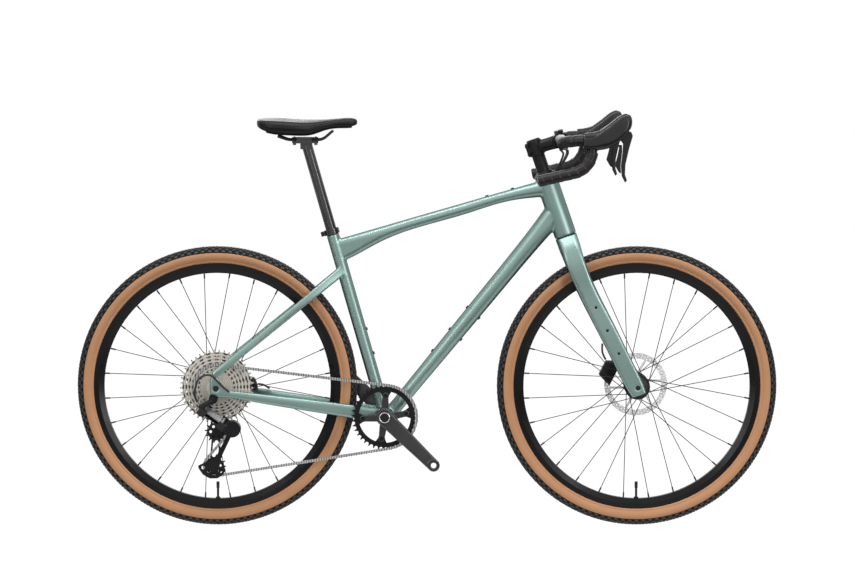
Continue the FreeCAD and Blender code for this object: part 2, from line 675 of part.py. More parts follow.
front_half = size("front_drop_width") / 2
rear_half = size("rear_drop_width") / 2
front_rotor_side = front_half - size("front_rotor_setback")
rear_rotor_side = rear_half - size("rear_rotor_setback")
cap_length = 8.0
front_left_end = front_rotor_side + 1.0
wheel("front", front_axle_spot, -front_half + cap_length + 0.4, (-front_half + 15.5, front_rotor_side - 15),
      front_rotor_side, front_left_end)
freehub_start = -size("largest_cog_inset") + 2.2
wheel("rear", rear_axle_spot, freehub_start + 0.3, (freehub_start + 5.5, rear_rotor_side - 20),
      rear_rotor_side, rear_rotor_side + 1.0)


def axle_set(name, centre, half, outer, left_cap, right_cap):
    """Thru-axle and the fixed hub sleeve with its end caps."""
    shaft = rod(name + "_shaft", "Sizes.axle_radius", str(2 * outer), centre - LEFT * outer, LEFT)
    sleeve = wheel_turned(name + "_sleeve", centre, [
        ("Sizes.axle_radius+Sizes.running_gap", str(-half + 0.1)),
        ("Sizes.sleeve_radius+2.5", str(-half + 0.1)),
        ("Sizes.sleeve_radius+2.5", str(-half + right_cap)), ("Sizes.sleeve_radius", str(-half + right_cap)),
        ("Sizes.sleeve_radius", str(half - left_cap)), ("Sizes.sleeve_radius+2.5", str(half - left_cap)),
        ("Sizes.sleeve_radius+2.5", str(half - 0.1)),
        ("Sizes.axle_radius+Sizes.running_gap", str(half - 0.1))])
    node(name, [shaft, sleeve])


leg_outer = front_half + 14.0
axle_set("front_axle", front_axle_spot, front_half, leg_outer - 1, front_half - front_left_end - 0.3,
         cap_length)
axle_set("rear_axle", rear_axle_spot, rear_half, drop_outer + 1, rear_half - rear_rotor_side - 1.3, 5.0)

# Fork: two blades that leave the crown, hollow steerer above, open axle ends and side bosses.
leg_width = size("leg_width")
fork_span = size("fork_length")
leg_form = [(0.002, 1.13, 13.0, 30.0), (0.06, 1.17, 26.0, 40.0), (0.13, 1.09, 44.0, 25.0),
            (0.30, 1.02, 47.5, 22.0), (0.60, 1.01, front_half + 2.5, 19.0),
            (0.86, 0.98, front_half + 6.5, 15.0),
            (1.0, 0.93, front_half + 7.0, 14.0), (1.045, 0.80, front_half + 7.0, 14.0)]
bend_start = 0.24
blade_lag = 5.0


def blade_ahead(fraction):
    return (size("fork_rake") - blade_lag) * max(0.0, (fraction - bend_start) / (1 - bend_start))


leg_sections = []
for fraction, wide, outward, thick in leg_form:
    centre = steer_spot(blade_ahead(fraction), -outward, -fraction * fork_span)
    leg_sections.append(rounded_section(centre, steer_ahead, LEFT, wide * leg_width, thick, 0.8))
right_leg = lofted(leg_sections)
crown_disc = cylinder(size("head_tube_radius") - 0.4, 16, steer_spot(0, 0, -16), steer_up)
crown_race = cylinder(size("steerer_radius") + 5.4, 9.6, steer_spot(0, 0, -1), steer_up)
stack_low = size("headset_gap") + size("head_tube_length") + 1.0
stem_low = stack_low + size("cover_height") + size("spacer_stack")
stem_high = stem_low + size("stem_height")
steerer_tube = cylinder(size("steerer_radius"), stem_high - 2 + 1, steer_spot(0, 0, -1), steer_up)
fork_solid = right_leg.multiFuse([mirrored(right_leg), crown_disc, crown_race, steerer_tube])
fork_solid = fork_solid.cut(cylinder(size("steerer_radius") - 3, stem_high, steer_spot(0, 0, 10), steer_up))
fork_solid = fork_solid.cut(cylinder(size("axle_radius") + gap, 2 * leg_outer + 20,
                                     front_axle_spot - LEFT * (leg_outer + 10), LEFT))
fork_solid = fork_solid.cut(cylinder(size("sleeve_radius") + 3.5, 2 * front_half,
                                     front_axle_spot - LEFT * front_half, LEFT))
boss_spots = []
boss_fractions = (0.459, 0.612, 0.765)
boss_depth = 7.0
for fraction in boss_fractions:
    for sign in (-1, 1):
        inward = LEFT * -sign
        spot = steer_spot(blade_ahead(fraction), sign * (leg_outer + 20), -fraction * fork_span)
        hit = fork_solid.common(Part.makeLine(spot, spot + inward * 50)).BoundBox
        face = hit.YMax if sign > 0 else hit.YMin
        surface = Vector(spot.x, face, spot.z)
        fork_solid = fork_solid.cut(cylinder(2.5, boss_depth + 2, surface - inward * 2, inward))
        boss_spots.append(surface)
node("fork", [shaped("fork", fork_solid)])

# Headset cover, spacers and top cap.
cover_base = "Sizes.headset_gap+Sizes.head_tube_length+1"
cover_top = cover_base + "+Sizes.cover_height"
steer_bore = "Sizes.steerer_radius+0.05"
headset_cover = column_turned("headset_cover", steering, [
    (steer_bore, cover_base + "-7"), (race_radius + "-0.06", cover_base + "-7"),
    (race_radius + "-0.06", cover_base), ("Sizes.head_tube_radius-0.2", cover_base),
    ("Sizes.head_tube_radius-1.5", cover_base + "+Sizes.cover_height*0.5"),
    ("Sizes.spacer_radius+2", cover_top), (steer_bore, cover_top)])
stack = [headset_cover]
spacer_count = 4
for place in range(spacer_count):
    low = "%s+Sizes.spacer_stack*%s/%s+0.05" % (cover_top, place, spacer_count)
    high = "%s+Sizes.spacer_stack*%s/%s-0.05" % (cover_top, place + 1, spacer_count)
    stack.append(column_turned("spacer", steering, [
        (steer_bore, low), ("Sizes.spacer_radius", low), ("Sizes.spacer_radius", high), (steer_bore, high)]))
cap_base = "%s+Sizes.spacer_stack+Sizes.stem_height+0.1" % cover_top
stack.append(column_turned("top_cap", steering, [
    ("0", cap_base), ("Sizes.spacer_radius+1", cap_base), ("Sizes.spacer_radius+1", cap_base + "+2"),
    ("Sizes.spacer_radius-1", cap_base + "+4"), ("0", cap_base + "+4")]))
node("headset_stack", stack)

# Stem: steerer clamp, short extension and the rear half of the bar clamp.
stem_middle = (stem_low + stem_high) / 2
stem_tilt = math.radians(size("stem_drop_angle"))
stem_along = steer_ahead * math.cos(stem_tilt) - steer_up * math.sin(stem_tilt)
stem_across = steer_ahead * math.sin(stem_tilt) + steer_up * math.cos(stem_tilt)
bar_centre = steer_spot(0, 0, stem_middle) + stem_along * size("stem_length")
clamp_wall = 4.5
clamp_half_width = 22.0
clamp_outer = size("bar_clamp_radius") + clamp_wall
steer_clamp = cylinder(size("steerer_radius") + 5, size("stem_height"), steer_spot(0, 0, stem_low), steer_up)
extension = lofted([
    rounded_section(steer_spot(0, 0, stem_middle), LEFT, stem_across, 36, size("stem_height") - 3, 0.8),
    rounded_section(bar_centre - stem_along * 26, LEFT, stem_across, 33, 33, 0.8),
    rounded_section(bar_centre - stem_along * 6, LEFT, stem_across, 42, 36, 0.6)])
bar_clamp = cylinder(clamp_outer, 2 * clamp_half_width, bar_centre - LEFT * clamp_half_width, LEFT)
rear_lug = lofted([
    rounded_section(steer_spot(-size("steerer_radius") + 2, 0, stem_middle), LEFT, steer_up, 26,
                    size("stem_height") - 2, 0.3),
    rounded_section(steer_spot(-size("steerer_radius") - 10, 0, stem_middle), LEFT, steer_up, 20,
                    size("stem_height") - 4, 0.4)])
stem_frame = Placement(bar_centre, Rotation(stem_along, LEFT, stem_across, "XYZ"))
ahead_half = Part.makeBox(60, 80, 80, Vector(1.0, -40, -40))
ahead_half.Placement = stem_frame
behind_half = Part.makeBox(60, 80, 80, Vector(-60 - 0.2, -40, -40))
behind_half.Placement = stem_frame
bar_bore = cylinder(size("bar_clamp_radius") + gap, 100, bar_centre - LEFT * 50, LEFT)
stem_solid = steer_clamp.multiFuse([extension, bar_clamp.common(behind_half), rear_lug])
stem_solid = stem_solid.cut(cylinder(size("steerer_radius") + 0.05, size("stem_height") + 10,
                                     steer_spot(0, 0, stem_low - 5), steer_up))
stem_solid = stem_solid.cut(bar_bore)
pinch_slit = Part.makeBox(40, 1.6, size("stem_height") + 4, Vector(-45, -0.8, stem_low - 2))
pinch_slit.Placement = steering
stem_solid = stem_solid.cut(pinch_slit)
faceplate_solid = bar_clamp.common(ahead_half).cut(bar_bore)
stem_bolts = []
for lift in (-1, 1):
    for side in (-14, 14):
        head_spot = bar_centre + stem_across * (lift * (clamp_outer + 1.2)) + LEFT * side + stem_along * 9
        ear = cylinder(4.6, 8.6, head_spot - stem_along * 8, stem_along)
        rear_ear = cylinder(4.6, 9, head_spot - stem_along * 18.2, stem_along)
        faceplate_solid = faceplate_solid.fuse(ear).cut(bar_bore)
        stem_solid = stem_solid.fuse(rear_ear).cut(bar_bore)
        stem_bolts.append(head_spot)
for spot in stem_bolts:
    drill = cylinder(2.6, 40, spot - stem_along * 16, stem_along)
    head_room = cylinder(4.3, 8, spot + stem_along * 0.6, stem_along)
    faceplate_solid = faceplate_solid.cut(drill).cut(head_room)
    stem_solid = stem_solid.cut(drill)
bolt_pieces = []
for spot in stem_bolts:
    bolt = cylinder(2.5, 16, spot - stem_along * 15.5,
                    stem_along).fuse(cylinder(4.0, 3.2, spot + stem_along * 0.65, stem_along))
    bolt_pieces.append(shaped("faceplate_bolt", bolt))
pinch_back = -size("steerer_radius") - 7.5
for lift in (-0.27, 0.27):
    spot = steer_spot(pinch_back, -15, stem_middle + lift * size("stem_height"))
    stem_solid = stem_solid.cut(cylinder(2.6, 40, spot - LEFT * 5, LEFT))
    bolt = cylinder(2.5, 26, spot + LEFT * 2, LEFT).fuse(cylinder(4.0, 3.0, spot + LEFT * 2, LEFT * -1))
    bolt_pieces.append(shaped("pinch_bolt", bolt))
node("stem", [shaped("stem", stem_solid)])
node("stem_faceplate", [shaped("stem_faceplate", faceplate_solid)])
node("stem_bolts", bolt_pieces)

# Drop handlebar: thick clamp zone, flat tops, short reach and flared drops.
bar_half = size("bar_width") / 2
bar_wall = 2.0
bulge_end = 75.0
bar_points = [
    bar_centre + Vector(0, -bulge_end, 0),
    bar_centre + Vector(0, -bar_half + 28, 0),
    bar_centre + Vector(75, -bar_half, 9),
    bar_centre + Vector(66, -bar_half - 0.35 * size("bar_flare"), -66),
    bar_centre + Vector(-61, -bar_half - size("bar_flare"), -94),
]
ramp_bend = 42.0
hook_bend = 29.0
drop_bend = 59.0
bar_path = path_wire(bar_points, [ramp_bend, hook_bend, drop_bend])
clamp_zone = 42.0
taper_outer = Part.makeCone(size("bar_radius"), size("bar_clamp_radius"), bulge_end - clamp_zone,
                            bar_centre - LEFT * bulge_end, LEFT)
taper_inner = Part.makeCone(size("bar_radius") - bar_wall, size("bar_clamp_radius") - bar_wall,
                            bulge_end - clamp_zone, bar_centre - LEFT * bulge_end, LEFT)
middle_tube = tube(size("bar_clamp_radius"), size("bar_clamp_radius") - bar_wall, 2 * clamp_zone,
                   bar_centre - LEFT * clamp_zone, LEFT)
bar_outer = pipe(bar_path, size("bar_radius"))
right_bar = bar_outer.cut(pipe(bar_path, size("bar_radius") - bar_wall))
right_taper = taper_outer.cut(taper_inner)
bar_solid = middle_tube.multiFuse([right_taper, right_bar, mirrored(right_taper), mirrored(right_bar)])
node("handlebar", [shaped("handlebar", bar_solid)])

# Hoods and control bodies: a rising horn on the front of each ramp, with a slot for the brake lever.
hood_base = bar_points[2]


def hood_spot(ahead, up, side=0.0):
    return hood_base + Vector(ahead, side, up)


hood_spine = [(-26, -3, 40, 33), (0, -4, 47, 36), (28, 2, 52, 35), (54, 18, 52, 33), (72, 38, 45, 31),
              (80, 53, 30, 24), (83, 61, 12, 12)]


def hood_loft(inset):
    sections = []
    last = len(hood_spine) - 1
    for place, (ahead, up, deep, wide) in enumerate(hood_spine):
        before = hood_spine[max(place - 1, 0)]
        after = hood_spine[min(place + 1, last)]
        along = Vector(after[0] - before[0], 0, after[1] - before[1]).normalize()
        across = Vector(-along.z, 0, along.x)
        shift = inset if place == 0 else (-inset if place == last else 0)
        sections.append(rounded_section(hood_spot(ahead, up) + along * shift, LEFT, across,
                                        wide - 2 * inset, deep - 2 * inset, 0.92))
    return lofted(sections)


hood_skin = 2.4
pivot = hood_spot(59, 15)
slot_half = 7.2
slot_corners = [hood_spot(*spot, -slot_half)
                for spot in ((49, 24), (118, 24), (118, -60), (38, -60), (49, -6))]
lever_slot = plate(slot_corners, LEFT * (2 * slot_half))
bar_fit = pipe(bar_path, size("bar_radius") + gap)
hood_whole = hood_loft(0.0)
body_whole = hood_loft(hood_skin)
hood_right = hood_whole.cut(body_whole).cut(bar_fit).cut(lever_slot)
pin_radius = 2.0
pivot_pin = cylinder(pin_radius, 28, pivot - LEFT * 14, LEFT)
body_right = hood_loft(hood_skin + 0.02).cut(bar_fit).cut(lever_slot).fuse(pivot_pin.common(body_whole))
node("hoods", [shaped("hood_right", hood_right), shaped("hood_left", mirrored(hood_right))])
node("control_bodies", [shaped("control_body_right", body_right),
                        shaped("control_body_left", mirrored(body_right))])

# Bar tape with end plugs.
tape_radius = size("bar_radius") + size("tape_thickness")
tape_solid = pipe(bar_path, tape_radius).cut(pipe(bar_path, size("bar_radius") + 0.02)).cut(hood_whole)
bar_end = bar_points[-1]
end_along = (bar_points[-1] - bar_points[-2]).normalize()
plug = cylinder(tape_radius, 3.0, bar_end + end_along * 0.1, end_along)
node("bar_tape", [shaped("tape_right", tape_solid), shaped("tape_left", mirrored(tape_solid)),
                  shaped("plug_right", plug), shaped("plug_left", mirrored(plug))])

# Brake levers and the shift paddle.
lever_half = 6.5


def lever_spot(ahead, up, side):
    return pivot + Vector(ahead, side, up)


blade_form = [(-3, 7), (12, 7), (32, 3), (36, -7), (27, -38), (18, -78), (17, -102), (22, -117), (17, -122),
              (9, -106), (7, -80), (11, -47), (12, -27), (-2, -7)]
paddle_form = [(9.5, -30), (10, -46), (6, -80), (7.5, -100), (2, -97), (-8, -80), (-2, -58), (3, -34)]
lever_bore = cylinder(pin_radius + gap, 30, pivot - LEFT * 15, LEFT)
blade = plate([lever_spot(ahead, up, -lever_half) for ahead, up in blade_form], LEFT * (2 * lever_half))
blade = blade.fuse(cylinder(7.4, 2 * lever_half, pivot - LEFT * lever_half, LEFT)).cut(lever_bore)
paddle = plate([lever_spot(ahead, up, -5.0) for ahead, up in paddle_form], LEFT * 10)
node("brake_lever_right", [shaped("brake_lever_right", blade)])
paddle_barrel = cylinder(3.0, 8.4, lever_spot(1.0, -32, 0), FORWARD)
paddle = paddle.fuse(paddle_barrel)
node("shift_paddle", [shaped("shift_paddle", paddle)])
node("brake_lever_left", [shaped("brake_lever_left", mirrored(blade.fuse(paddle.translated(FORWARD * 1.5))))])

# Seatpost with a two-bolt head, saddle clamp, rails, shell and cushion.
post_low = size("seat_tube_length") - size("post_inside")
post_high = size("seat_tube_length") + 0.1 + size("collar_height") + size("post_exposed")
post_top = seat_spot(0, 0, post_high)
saddle_centre = post_top + Vector(-6, 0, 13)


def saddle_spot(ahead, side, up):
    return saddle_centre + Vector(ahead, side, up)


post_outer = cylinder(size("post_radius"), post_high - post_low, seat_spot(0, 0, post_low), seat_up)
post_inner = cylinder(size("post_radius") - 2.2, post_high - post_low - 20, seat_spot(0, 0, post_low),
                      seat_up)
post_head = block(saddle_spot(-10, -13, -24), saddle_spot(20, 13, -9.1))
post_solid = post_outer.fuse(post_head).cut(post_inner)
post_solid = post_solid.cut(block(saddle_spot(-60, -60, -9.1), saddle_spot(60, 60, 60)))
node("seatpost", [shaped("seatpost", post_solid)])
rail_half = size("rail_spacing") / 2
rail = size("rail_radius")
cradle = block(saddle_spot(-20, -rail_half - 6, -9), saddle_spot(20, rail_half + 6, -0.2))
cradle = cradle.fuse(block(saddle_spot(-31, -8, -9), saddle_spot(35, 8, -2)))
keeper = block(saddle_spot(-18, -rail_half - 6, 0.2), saddle_spot(18, rail_half + 6, 6.5))
keeper = keeper.fuse(block(saddle_spot(-31, -8, 0.2), saddle_spot(35, 8, 6.5)))
for sign in (-1, 1):
    groove = cylinder(rail + 0.05, 100, saddle_spot(-50, sign * rail_half, 0), FORWARD)
    cradle = cradle.cut(groove)
    keeper = keeper.cut(groove)
clamp_bolts = []
for ahead in (-25, 29):
    drill = cylinder(2.7, 40, saddle_spot(ahead, 0, -20), UP)
    cradle = cradle.cut(drill)
    keeper = keeper.cut(drill)
    bolt = cylinder(2.5, 22, saddle_spot(ahead, 0, -14),
                    UP).fuse(cylinder(4.2, 4.5, saddle_spot(ahead, 0, -13.6), UP))
    clamp_bolts.append(shaped("clamp_bolt", bolt))
node("saddle_clamp", [shaped("clamp_cradle", cradle), shaped("clamp_keeper", keeper)] + clamp_bolts)
long = size("saddle_length") / 252.0
wide = size("saddle_width") / 144.0
saddle_form = [(-118.5, 30, 37, 49), (-112, 52, 30, 53), (-95, 66, 22, 54.5), (-60, 72, 16, 54.5),
               (-20, 67, 14, 52),
               (20, 52, 16, 51), (50, 35, 26, 51.5), (85, 24, 32, 53.5), (120, 20.5, 33.5, 55),
               (133.5, 12, 38, 51)]


def saddle_section(ahead, half, low, high):
    """Crowned section: flat bottom, drawn-in sides and a rounded top."""
    deep = high - low
    foot = Vector(saddle_centre.x + ahead, half * 0.74, saddle_centre.z + low)
    swell = Vector(foot.x, half, foot.z + deep * 0.45)
    shoulder = Vector(foot.x, half * 0.72, foot.z + deep * 0.84)
    peak = Vector(foot.x, 0, foot.z + deep)

    def flip(point):
        return Vector(point.x, -point.y, point.z)

    return Part.Wire([
        Part.LineSegment(flip(foot), foot).toShape(), Part.Arc(foot, swell, shoulder).toShape(),
        Part.Arc(shoulder, peak, flip(shoulder)).toShape(),
        Part.Arc(flip(shoulder), flip(swell), flip(foot)).toShape()])


cushion = lofted([saddle_section(ahead * long, half * wide, low, high) for ahead, half, low,
                  high in saddle_form])
node("saddle_cover", [shaped("saddle_cover", cushion)])
shell_thick = 3.0
saddle_shell = lofted([rounded_section(saddle_spot(ahead * long, 0, low - shell_thick / 2 - 0.4), LEFT, UP,
                                       1.3 * half * wide, shell_thick, 0.8)
                       for ahead, half, low, high in saddle_form[2:9]]).cut(cushion)
node("saddle_shell", [shaped("saddle_shell", saddle_shell)])
rail_points = [saddle_spot(-66 * long, -rail_half - 8, 9.4), saddle_spot(-40 * long, -rail_half, 0),
               saddle_spot(46 * long, -rail_half, 0), saddle_spot(72 * long, -rail_half + 9, 22.3)]
rail_path = path_wire(rail_points, [30.0, 30.0])
rail_solid = pipe(rail_path, rail)
node("saddle_rails", [shaped("rail_right", rail_solid), shaped("rail_left", mirrored(rail_solid))])

# Crank: right arm with four-arm spider and hollow spindle, left arm, chainring with bolts.
crank_turn = size("crank_angle")
crank_reach = size("crank_length")
pedal_face = 75.5
arm_form = [(0, 61.0, 14.0, 40.0), (0.35, 62.5, 13.5, 38.0), (0.64, 65.5, 13.0, 34.5),
            (1.0, 69.0, 13.0, 31.0)]
arm_end_radius = 15.5
ring_side = size("chain_line")


def crank_arm():
    sections = [rounded_section(Vector(fraction * crank_reach, -outward, 0), LEFT, UP, thick, width, 0.55)
                for fraction, outward, thick, width in arm_form]
    arm = lofted(sections)
    tip = cylinder(arm_end_radius, 13, Vector(crank_reach, -pedal_face, 0), LEFT)
    boss = cylinder(21.0, 17, Vector(0, -67, 0), LEFT)
    arm = arm.multiFuse([tip, boss])
    return arm.cut(cylinder(7.14, 40, Vector(crank_reach, -90, 0), LEFT))


def placed_on_bracket(shape, turn):
    shape.rotate(Vector(0, 0, 0), LEFT, turn)
    shape.translate(bracket)
    return shape


spider_angles = (54.0, 132.0, 228.0, 306.0)
bolt_circle = 55.0
spider_inner = ring_side + 3.1
right_pieces = [cylinder(17.0, 63 - 45.2, Vector(0, -63, 0), LEFT)]
for angle in spider_angles:
    limb = plate([Vector(0, -spider_inner - 4.5, -11), Vector(bolt_circle, -spider_inner - 4.5, -7.5),
                  Vector(bolt_circle, -spider_inner - 4.5, 7.5), Vector(0, -spider_inner - 4.5, 11)],
                 LEFT * 4.5)
    limb = limb.fuse(cylinder(8.0, 4.5, Vector(bolt_circle, -spider_inner - 4.5, 0), LEFT))
    limb = limb.cut(cylinder(4.1, 20, Vector(bolt_circle, -spider_inner - 10, 0), LEFT))
    limb.rotate(Vector(0, 0, 0), LEFT, angle)
    right_pieces.append(limb)
spindle_end = 68.0
right_pieces.append(cylinder(size("spindle_radius"), spindle_end + 60, Vector(0, -60, 0), LEFT))
right_arm = crank_arm().multiFuse(right_pieces).cut(
    cylinder(size("spindle_radius") - 2.5, spindle_end + 65, Vector(0, -55, 0), LEFT))
node("crank_arm_right", [shaped("crank_arm_right", placed_on_bracket(right_arm, crank_turn))])
left_arm = mirrored(crank_arm()).fuse(cylinder(17.0, 63 - 44.4, Vector(0, 44.4, 0), LEFT))
left_arm = left_arm.cut(cylinder(size("spindle_radius") + 0.02, 60, Vector(0, 40, 0), LEFT))
left_cap = placed_on_bracket(cylinder(10.0, 4.0, Vector(0, spindle_end + 0.1, 0), LEFT), 0)
node("crank_arm_left", [shaped("left_arm", placed_on_bracket(left_arm, crank_turn + 180)),
                        shaped("crank_cap", left_cap)])
pitch = size("chain_pitch")


def pitch_radius(teeth):
    return pitch / (2 * math.sin(math.pi / teeth))


seat_gap = 0.5


def toothed_face(teeth, phase):
    """Sprocket outline: roller seats joined to narrow tooth tips; phase is the angle of one seat."""
    radius = pitch_radius(teeth)
    seat = size("roller_radius") + seat_gap
    tip_radius = radius + 3.0
    step = 2 * math.pi / teeth
    spread = math.radians(62)
    tip_half = 1.1 / tip_radius

    def polar(angle, distance):
        return Vector(distance * math.cos(angle), 0, distance * math.sin(angle))

    edges = []
    for place in range(teeth):
        angle = phase + step * place
        middle = polar(angle, radius)
        first = middle + polar(angle + math.pi + spread, seat)
        lowest = middle + polar(angle + math.pi, seat)
        last = middle + polar(angle + math.pi - spread, seat)
        tip_start = polar(angle + step / 2 - tip_half, tip_radius)
        tip_end = polar(angle + step / 2 + tip_half, tip_radius)
        next_middle = polar(angle + step, radius)
        following = next_middle + polar(angle + step + math.pi + spread, seat)
        edges.append(Part.Arc(first, lowest, last).toShape())
        edges.append(Part.LineSegment(last, tip_start).toShape())
        edges.append(Part.LineSegment(tip_start, tip_end).toShape())
        edges.append(Part.LineSegment(tip_end, following).toShape())
    return Part.Face(Part.Wire(edges))


def sprocket(teeth, phase, side, thick, hole):
    solid = toothed_face(teeth, phase).extrude(LEFT * thick)
    solid.translate(LEFT * (side - thick / 2))
    return solid.cut(cylinder(hole, thick + 4, LEFT * (side - thick / 2 - 2), LEFT))


# Chain run in side view: chainring, cog, guide pulley and tension pulley.
COGS = (45, 40, 36, 32, 28, 24, 21, 18, 16, 14, 12, 10)
run_place = 4
cog_sides = [-(size("largest_cog_inset") + size("cog_spacing") * place) for place in range(len(COGS))]
run_side = cog_sides[run_place]
ring_teeth = int(size("ring_teeth"))
pulley_teeth = int(size("pulley_teeth"))
cage_pivot = rear_axle_spot + Vector(41, 0, -102.5)
guide_from_pivot = Vector(-42, 0, -10.5)
tension_from_pivot = Vector(-47, 0, -97)


def flat(point):
    return (point.x, point.z)


def turned_about(vector, degrees):
    angle = math.radians(degrees)
    return Vector(vector.x * math.cos(angle) + vector.z * math.sin(angle), 0,
                  -vector.x * math.sin(angle) + vector.z * math.cos(angle))


def tangent(first, first_radius, first_sign, second, second_radius, second_sign):
    """Tangent points of a run that leaves one wheel and meets the next; sign +1 is clockwise."""
    dx = second[0] - first[0]
    dz = second[1] - first[1]
    distance = math.hypot(dx, dz)
    heading = math.atan2(dz, dx)
    turn = math.asin((first_sign * first_radius - second_sign * second_radius) / distance)
    along = heading - turn

    def touch(centre, radius, sign):
        return (centre[0] - sign * radius * math.sin(along), centre[1] + sign * radius * math.cos(along))

    return touch(first, first_radius, first_sign), touch(second, second_radius, second_sign)


def chain_run(cage_turn):
    wheels = [(flat(bracket), ring_teeth, 1, -ring_side),
              (flat(cage_pivot + turned_about(tension_from_pivot, cage_turn)), pulley_teeth, 1, run_side),
              (flat(cage_pivot + turned_about(guide_from_pivot, cage_turn)), pulley_teeth, -1, run_side),
              (flat(rear_axle_spot), COGS[run_place], 1, run_side)]
    lines = []
    for place in range(4):
        here = wheels[place]
        there = wheels[(place + 1) % 4]
        lines.append(tangent(here[0], pitch_radius(here[1]), here[2], there[0], pitch_radius(there[1]),
                             there[2]))
    legs = []
    for place in range(4):
        centre, teeth, sign, side = wheels[place]
        arrive = lines[place - 1][1]
        leave = lines[place][0]
        start = math.atan2(arrive[1] - centre[1], arrive[0] - centre[0])
        end = math.atan2(leave[1] - centre[1], leave[0] - centre[0])
        sweep = (start - end) * sign % (2 * math.pi)
        legs.append(("arc", sweep * teeth / (2 * math.pi), centre, pitch_radius(teeth), start,
                     -sign * sweep, side))
        run_start, run_end = lines[place]
        length = math.hypot(run_end[0] - run_start[0], run_end[1] - run_start[1]) / pitch
        legs.append(("line", length, run_start, run_end, side, wheels[(place + 1) % 4][3], 0))
    return legs


def links_in(legs):
    return sum(leg[1] for leg in legs)


slack_turn = 0.0
links = 2 * round(links_in(chain_run(slack_turn)) / 2)
for trial in range(30):
    error = links_in(chain_run(slack_turn)) - links
    slope = (links_in(chain_run(slack_turn + 0.2)) - links_in(chain_run(slack_turn - 0.2))) / 0.4
    slack_turn = slack_turn - max(-4.0, min(4.0, error / slope))
chain_legs = chain_run(slack_turn)
guide_spot = cage_pivot + turned_about(guide_from_pivot, slack_turn)
tension_spot = cage_pivot + turned_about(tension_from_pivot, slack_turn)


straight_start = 1.6


def chain_point(place):
    for kind, length, first, second, third, fourth, side in chain_legs:
        if place <= length:
            share = place / length
            if kind == "arc":
                angle = third + fourth * share
                return Vector(first[0] + second * math.cos(angle), side, first[1] + second * math.sin(angle))
            drift = share
            if length > 4 * straight_start:
                drift = min(1.0, max(0.0, (place - straight_start) / (length - 2 * straight_start)))
            return Vector(first[0] + (second[0] - first[0]) * share, third + (fourth - third) * drift,
                          first[1] + (second[1] - first[1]) * share)
        place = place - length
    return chain_point(0.0)


def seat_phase(leg):
    """Angle of a roller seat on the wheel of one wrapped leg."""
    before = sum(other[1] for other in chain_legs[:leg])
    first_roller = math.ceil(before) - before
    kind, length, centre, radius, start, swing, side = chain_legs[leg]
    return start + swing * first_roller / length


ring_phase = seat_phase(0)
tension_phase = seat_phase(2)
guide_phase = seat_phase(4)
cog_phase = seat_phase(6)

# Chainring: toothed band with four tabs and bolts.
thick = size("sprocket_thickness")
band_inner = pitch_radius(ring_teeth) - 15.5
tabs = []
for angle in spider_angles:
    tab = plate([Vector(bolt_circle, -spider_inner + 0.1, -9),
                 Vector(band_inner + 4, -spider_inner + 0.1, -17),
                 Vector(band_inner + 4, -spider_inner + 0.1, 17),
                 Vector(bolt_circle, -spider_inner + 0.1, 9)], LEFT * 3.9)
    tab = tab.fuse(cylinder(9.0, 3.9, Vector(bolt_circle, -spider_inner + 0.1, 0), LEFT))
    tab = tab.cut(cylinder(4.1, 20, Vector(bolt_circle, -spider_inner - 10, 0), LEFT))
    tab.rotate(Vector(0, 0, 0), LEFT, angle + crank_turn)
    tabs.append(tab)
band = tube(pitch_radius(ring_teeth) - 6.5, band_inner, 3.0, LEFT * (-ring_side - 1.5), LEFT)
ring_solid = sprocket(ring_teeth, ring_phase, -ring_side, thick, band_inner).multiFuse([band] + tabs)
ring_solid.translate(bracket)
ring_pieces = [shaped("chainring_plate", ring_solid)]
for angle in spider_angles:
    stud = cylinder(4.0, 9.6, Vector(bolt_circle, -spider_inner - 4.6, 0), LEFT)
    stud = stud.fuse(cylinder(5.2, 1.4, Vector(bolt_circle, -spider_inner - 6.0, 0), LEFT))
    ring_pieces.append(shaped("chainring_bolt", placed_on_bracket(stud, angle + crank_turn)))
node("chainring", ring_pieces)

# Cassette: twelve cogs with spacers on the driver body.
driver_radius = 15.0
cassette_pieces = []
for place, teeth in enumerate(COGS):
    phase = cog_phase if place == run_place else math.pi / 2
    root = pitch_radius(teeth) - size("roller_radius")
    if root > 34:
        window = root - 8.0
        cog = sprocket(teeth, phase, cog_sides[place], thick, window)
        limbs = [tube(19.0, driver_radius + 0.05, thick, LEFT * (cog_sides[place] - thick / 2), LEFT)]
        for turn in range(6):
            limb = Part.makeBox(window + 2 - 17, thick, 9, Vector(17, cog_sides[place] - thick / 2, -4.5))
            limb.rotate(Vector(0, 0, 0), LEFT, 60 * turn + 6 * place)
            limbs.append(limb)
        cog = cog.multiFuse(limbs)
    else:
        cog = sprocket(teeth, phase, cog_sides[place], thick, driver_radius + 0.05)
    cog.translate(rear_axle_spot)
    cassette_pieces.append(shaped("cog_%d" % teeth, cog))
    if place + 1 < len(COGS):
        spacer = tube(16.0, driver_radius + 0.05, size("cog_spacing") - thick - 0.1,
                      LEFT * (cog_sides[place + 1] + thick / 2 + 0.05), LEFT)
        spacer.translate(rear_axle_spot)
        cassette_pieces.append(shaped("cog_spacer", spacer))
driver_end = cog_sides[-1] - thick / 2 - 0.1
driver = tube(driver_radius, size("sleeve_radius") + gap, freehub_start - 0.3 - driver_end,
              LEFT * driver_end, LEFT)
driver.translate(rear_axle_spot)
ring_nut = tube(16.2, size("sleeve_radius") + gap + 4, 1.6, LEFT * (driver_end - 1.7), LEFT)
ring_nut.translate(rear_axle_spot)
node("cassette", cassette_pieces + [shaped("driver_body", driver), shaped("cassette_nut", ring_nut)])

# Chain: inner links with rollers and outer links with pins, laid on the run.
plate_radius = 3.9
plate_thick = 0.7
roller_half = 1.05


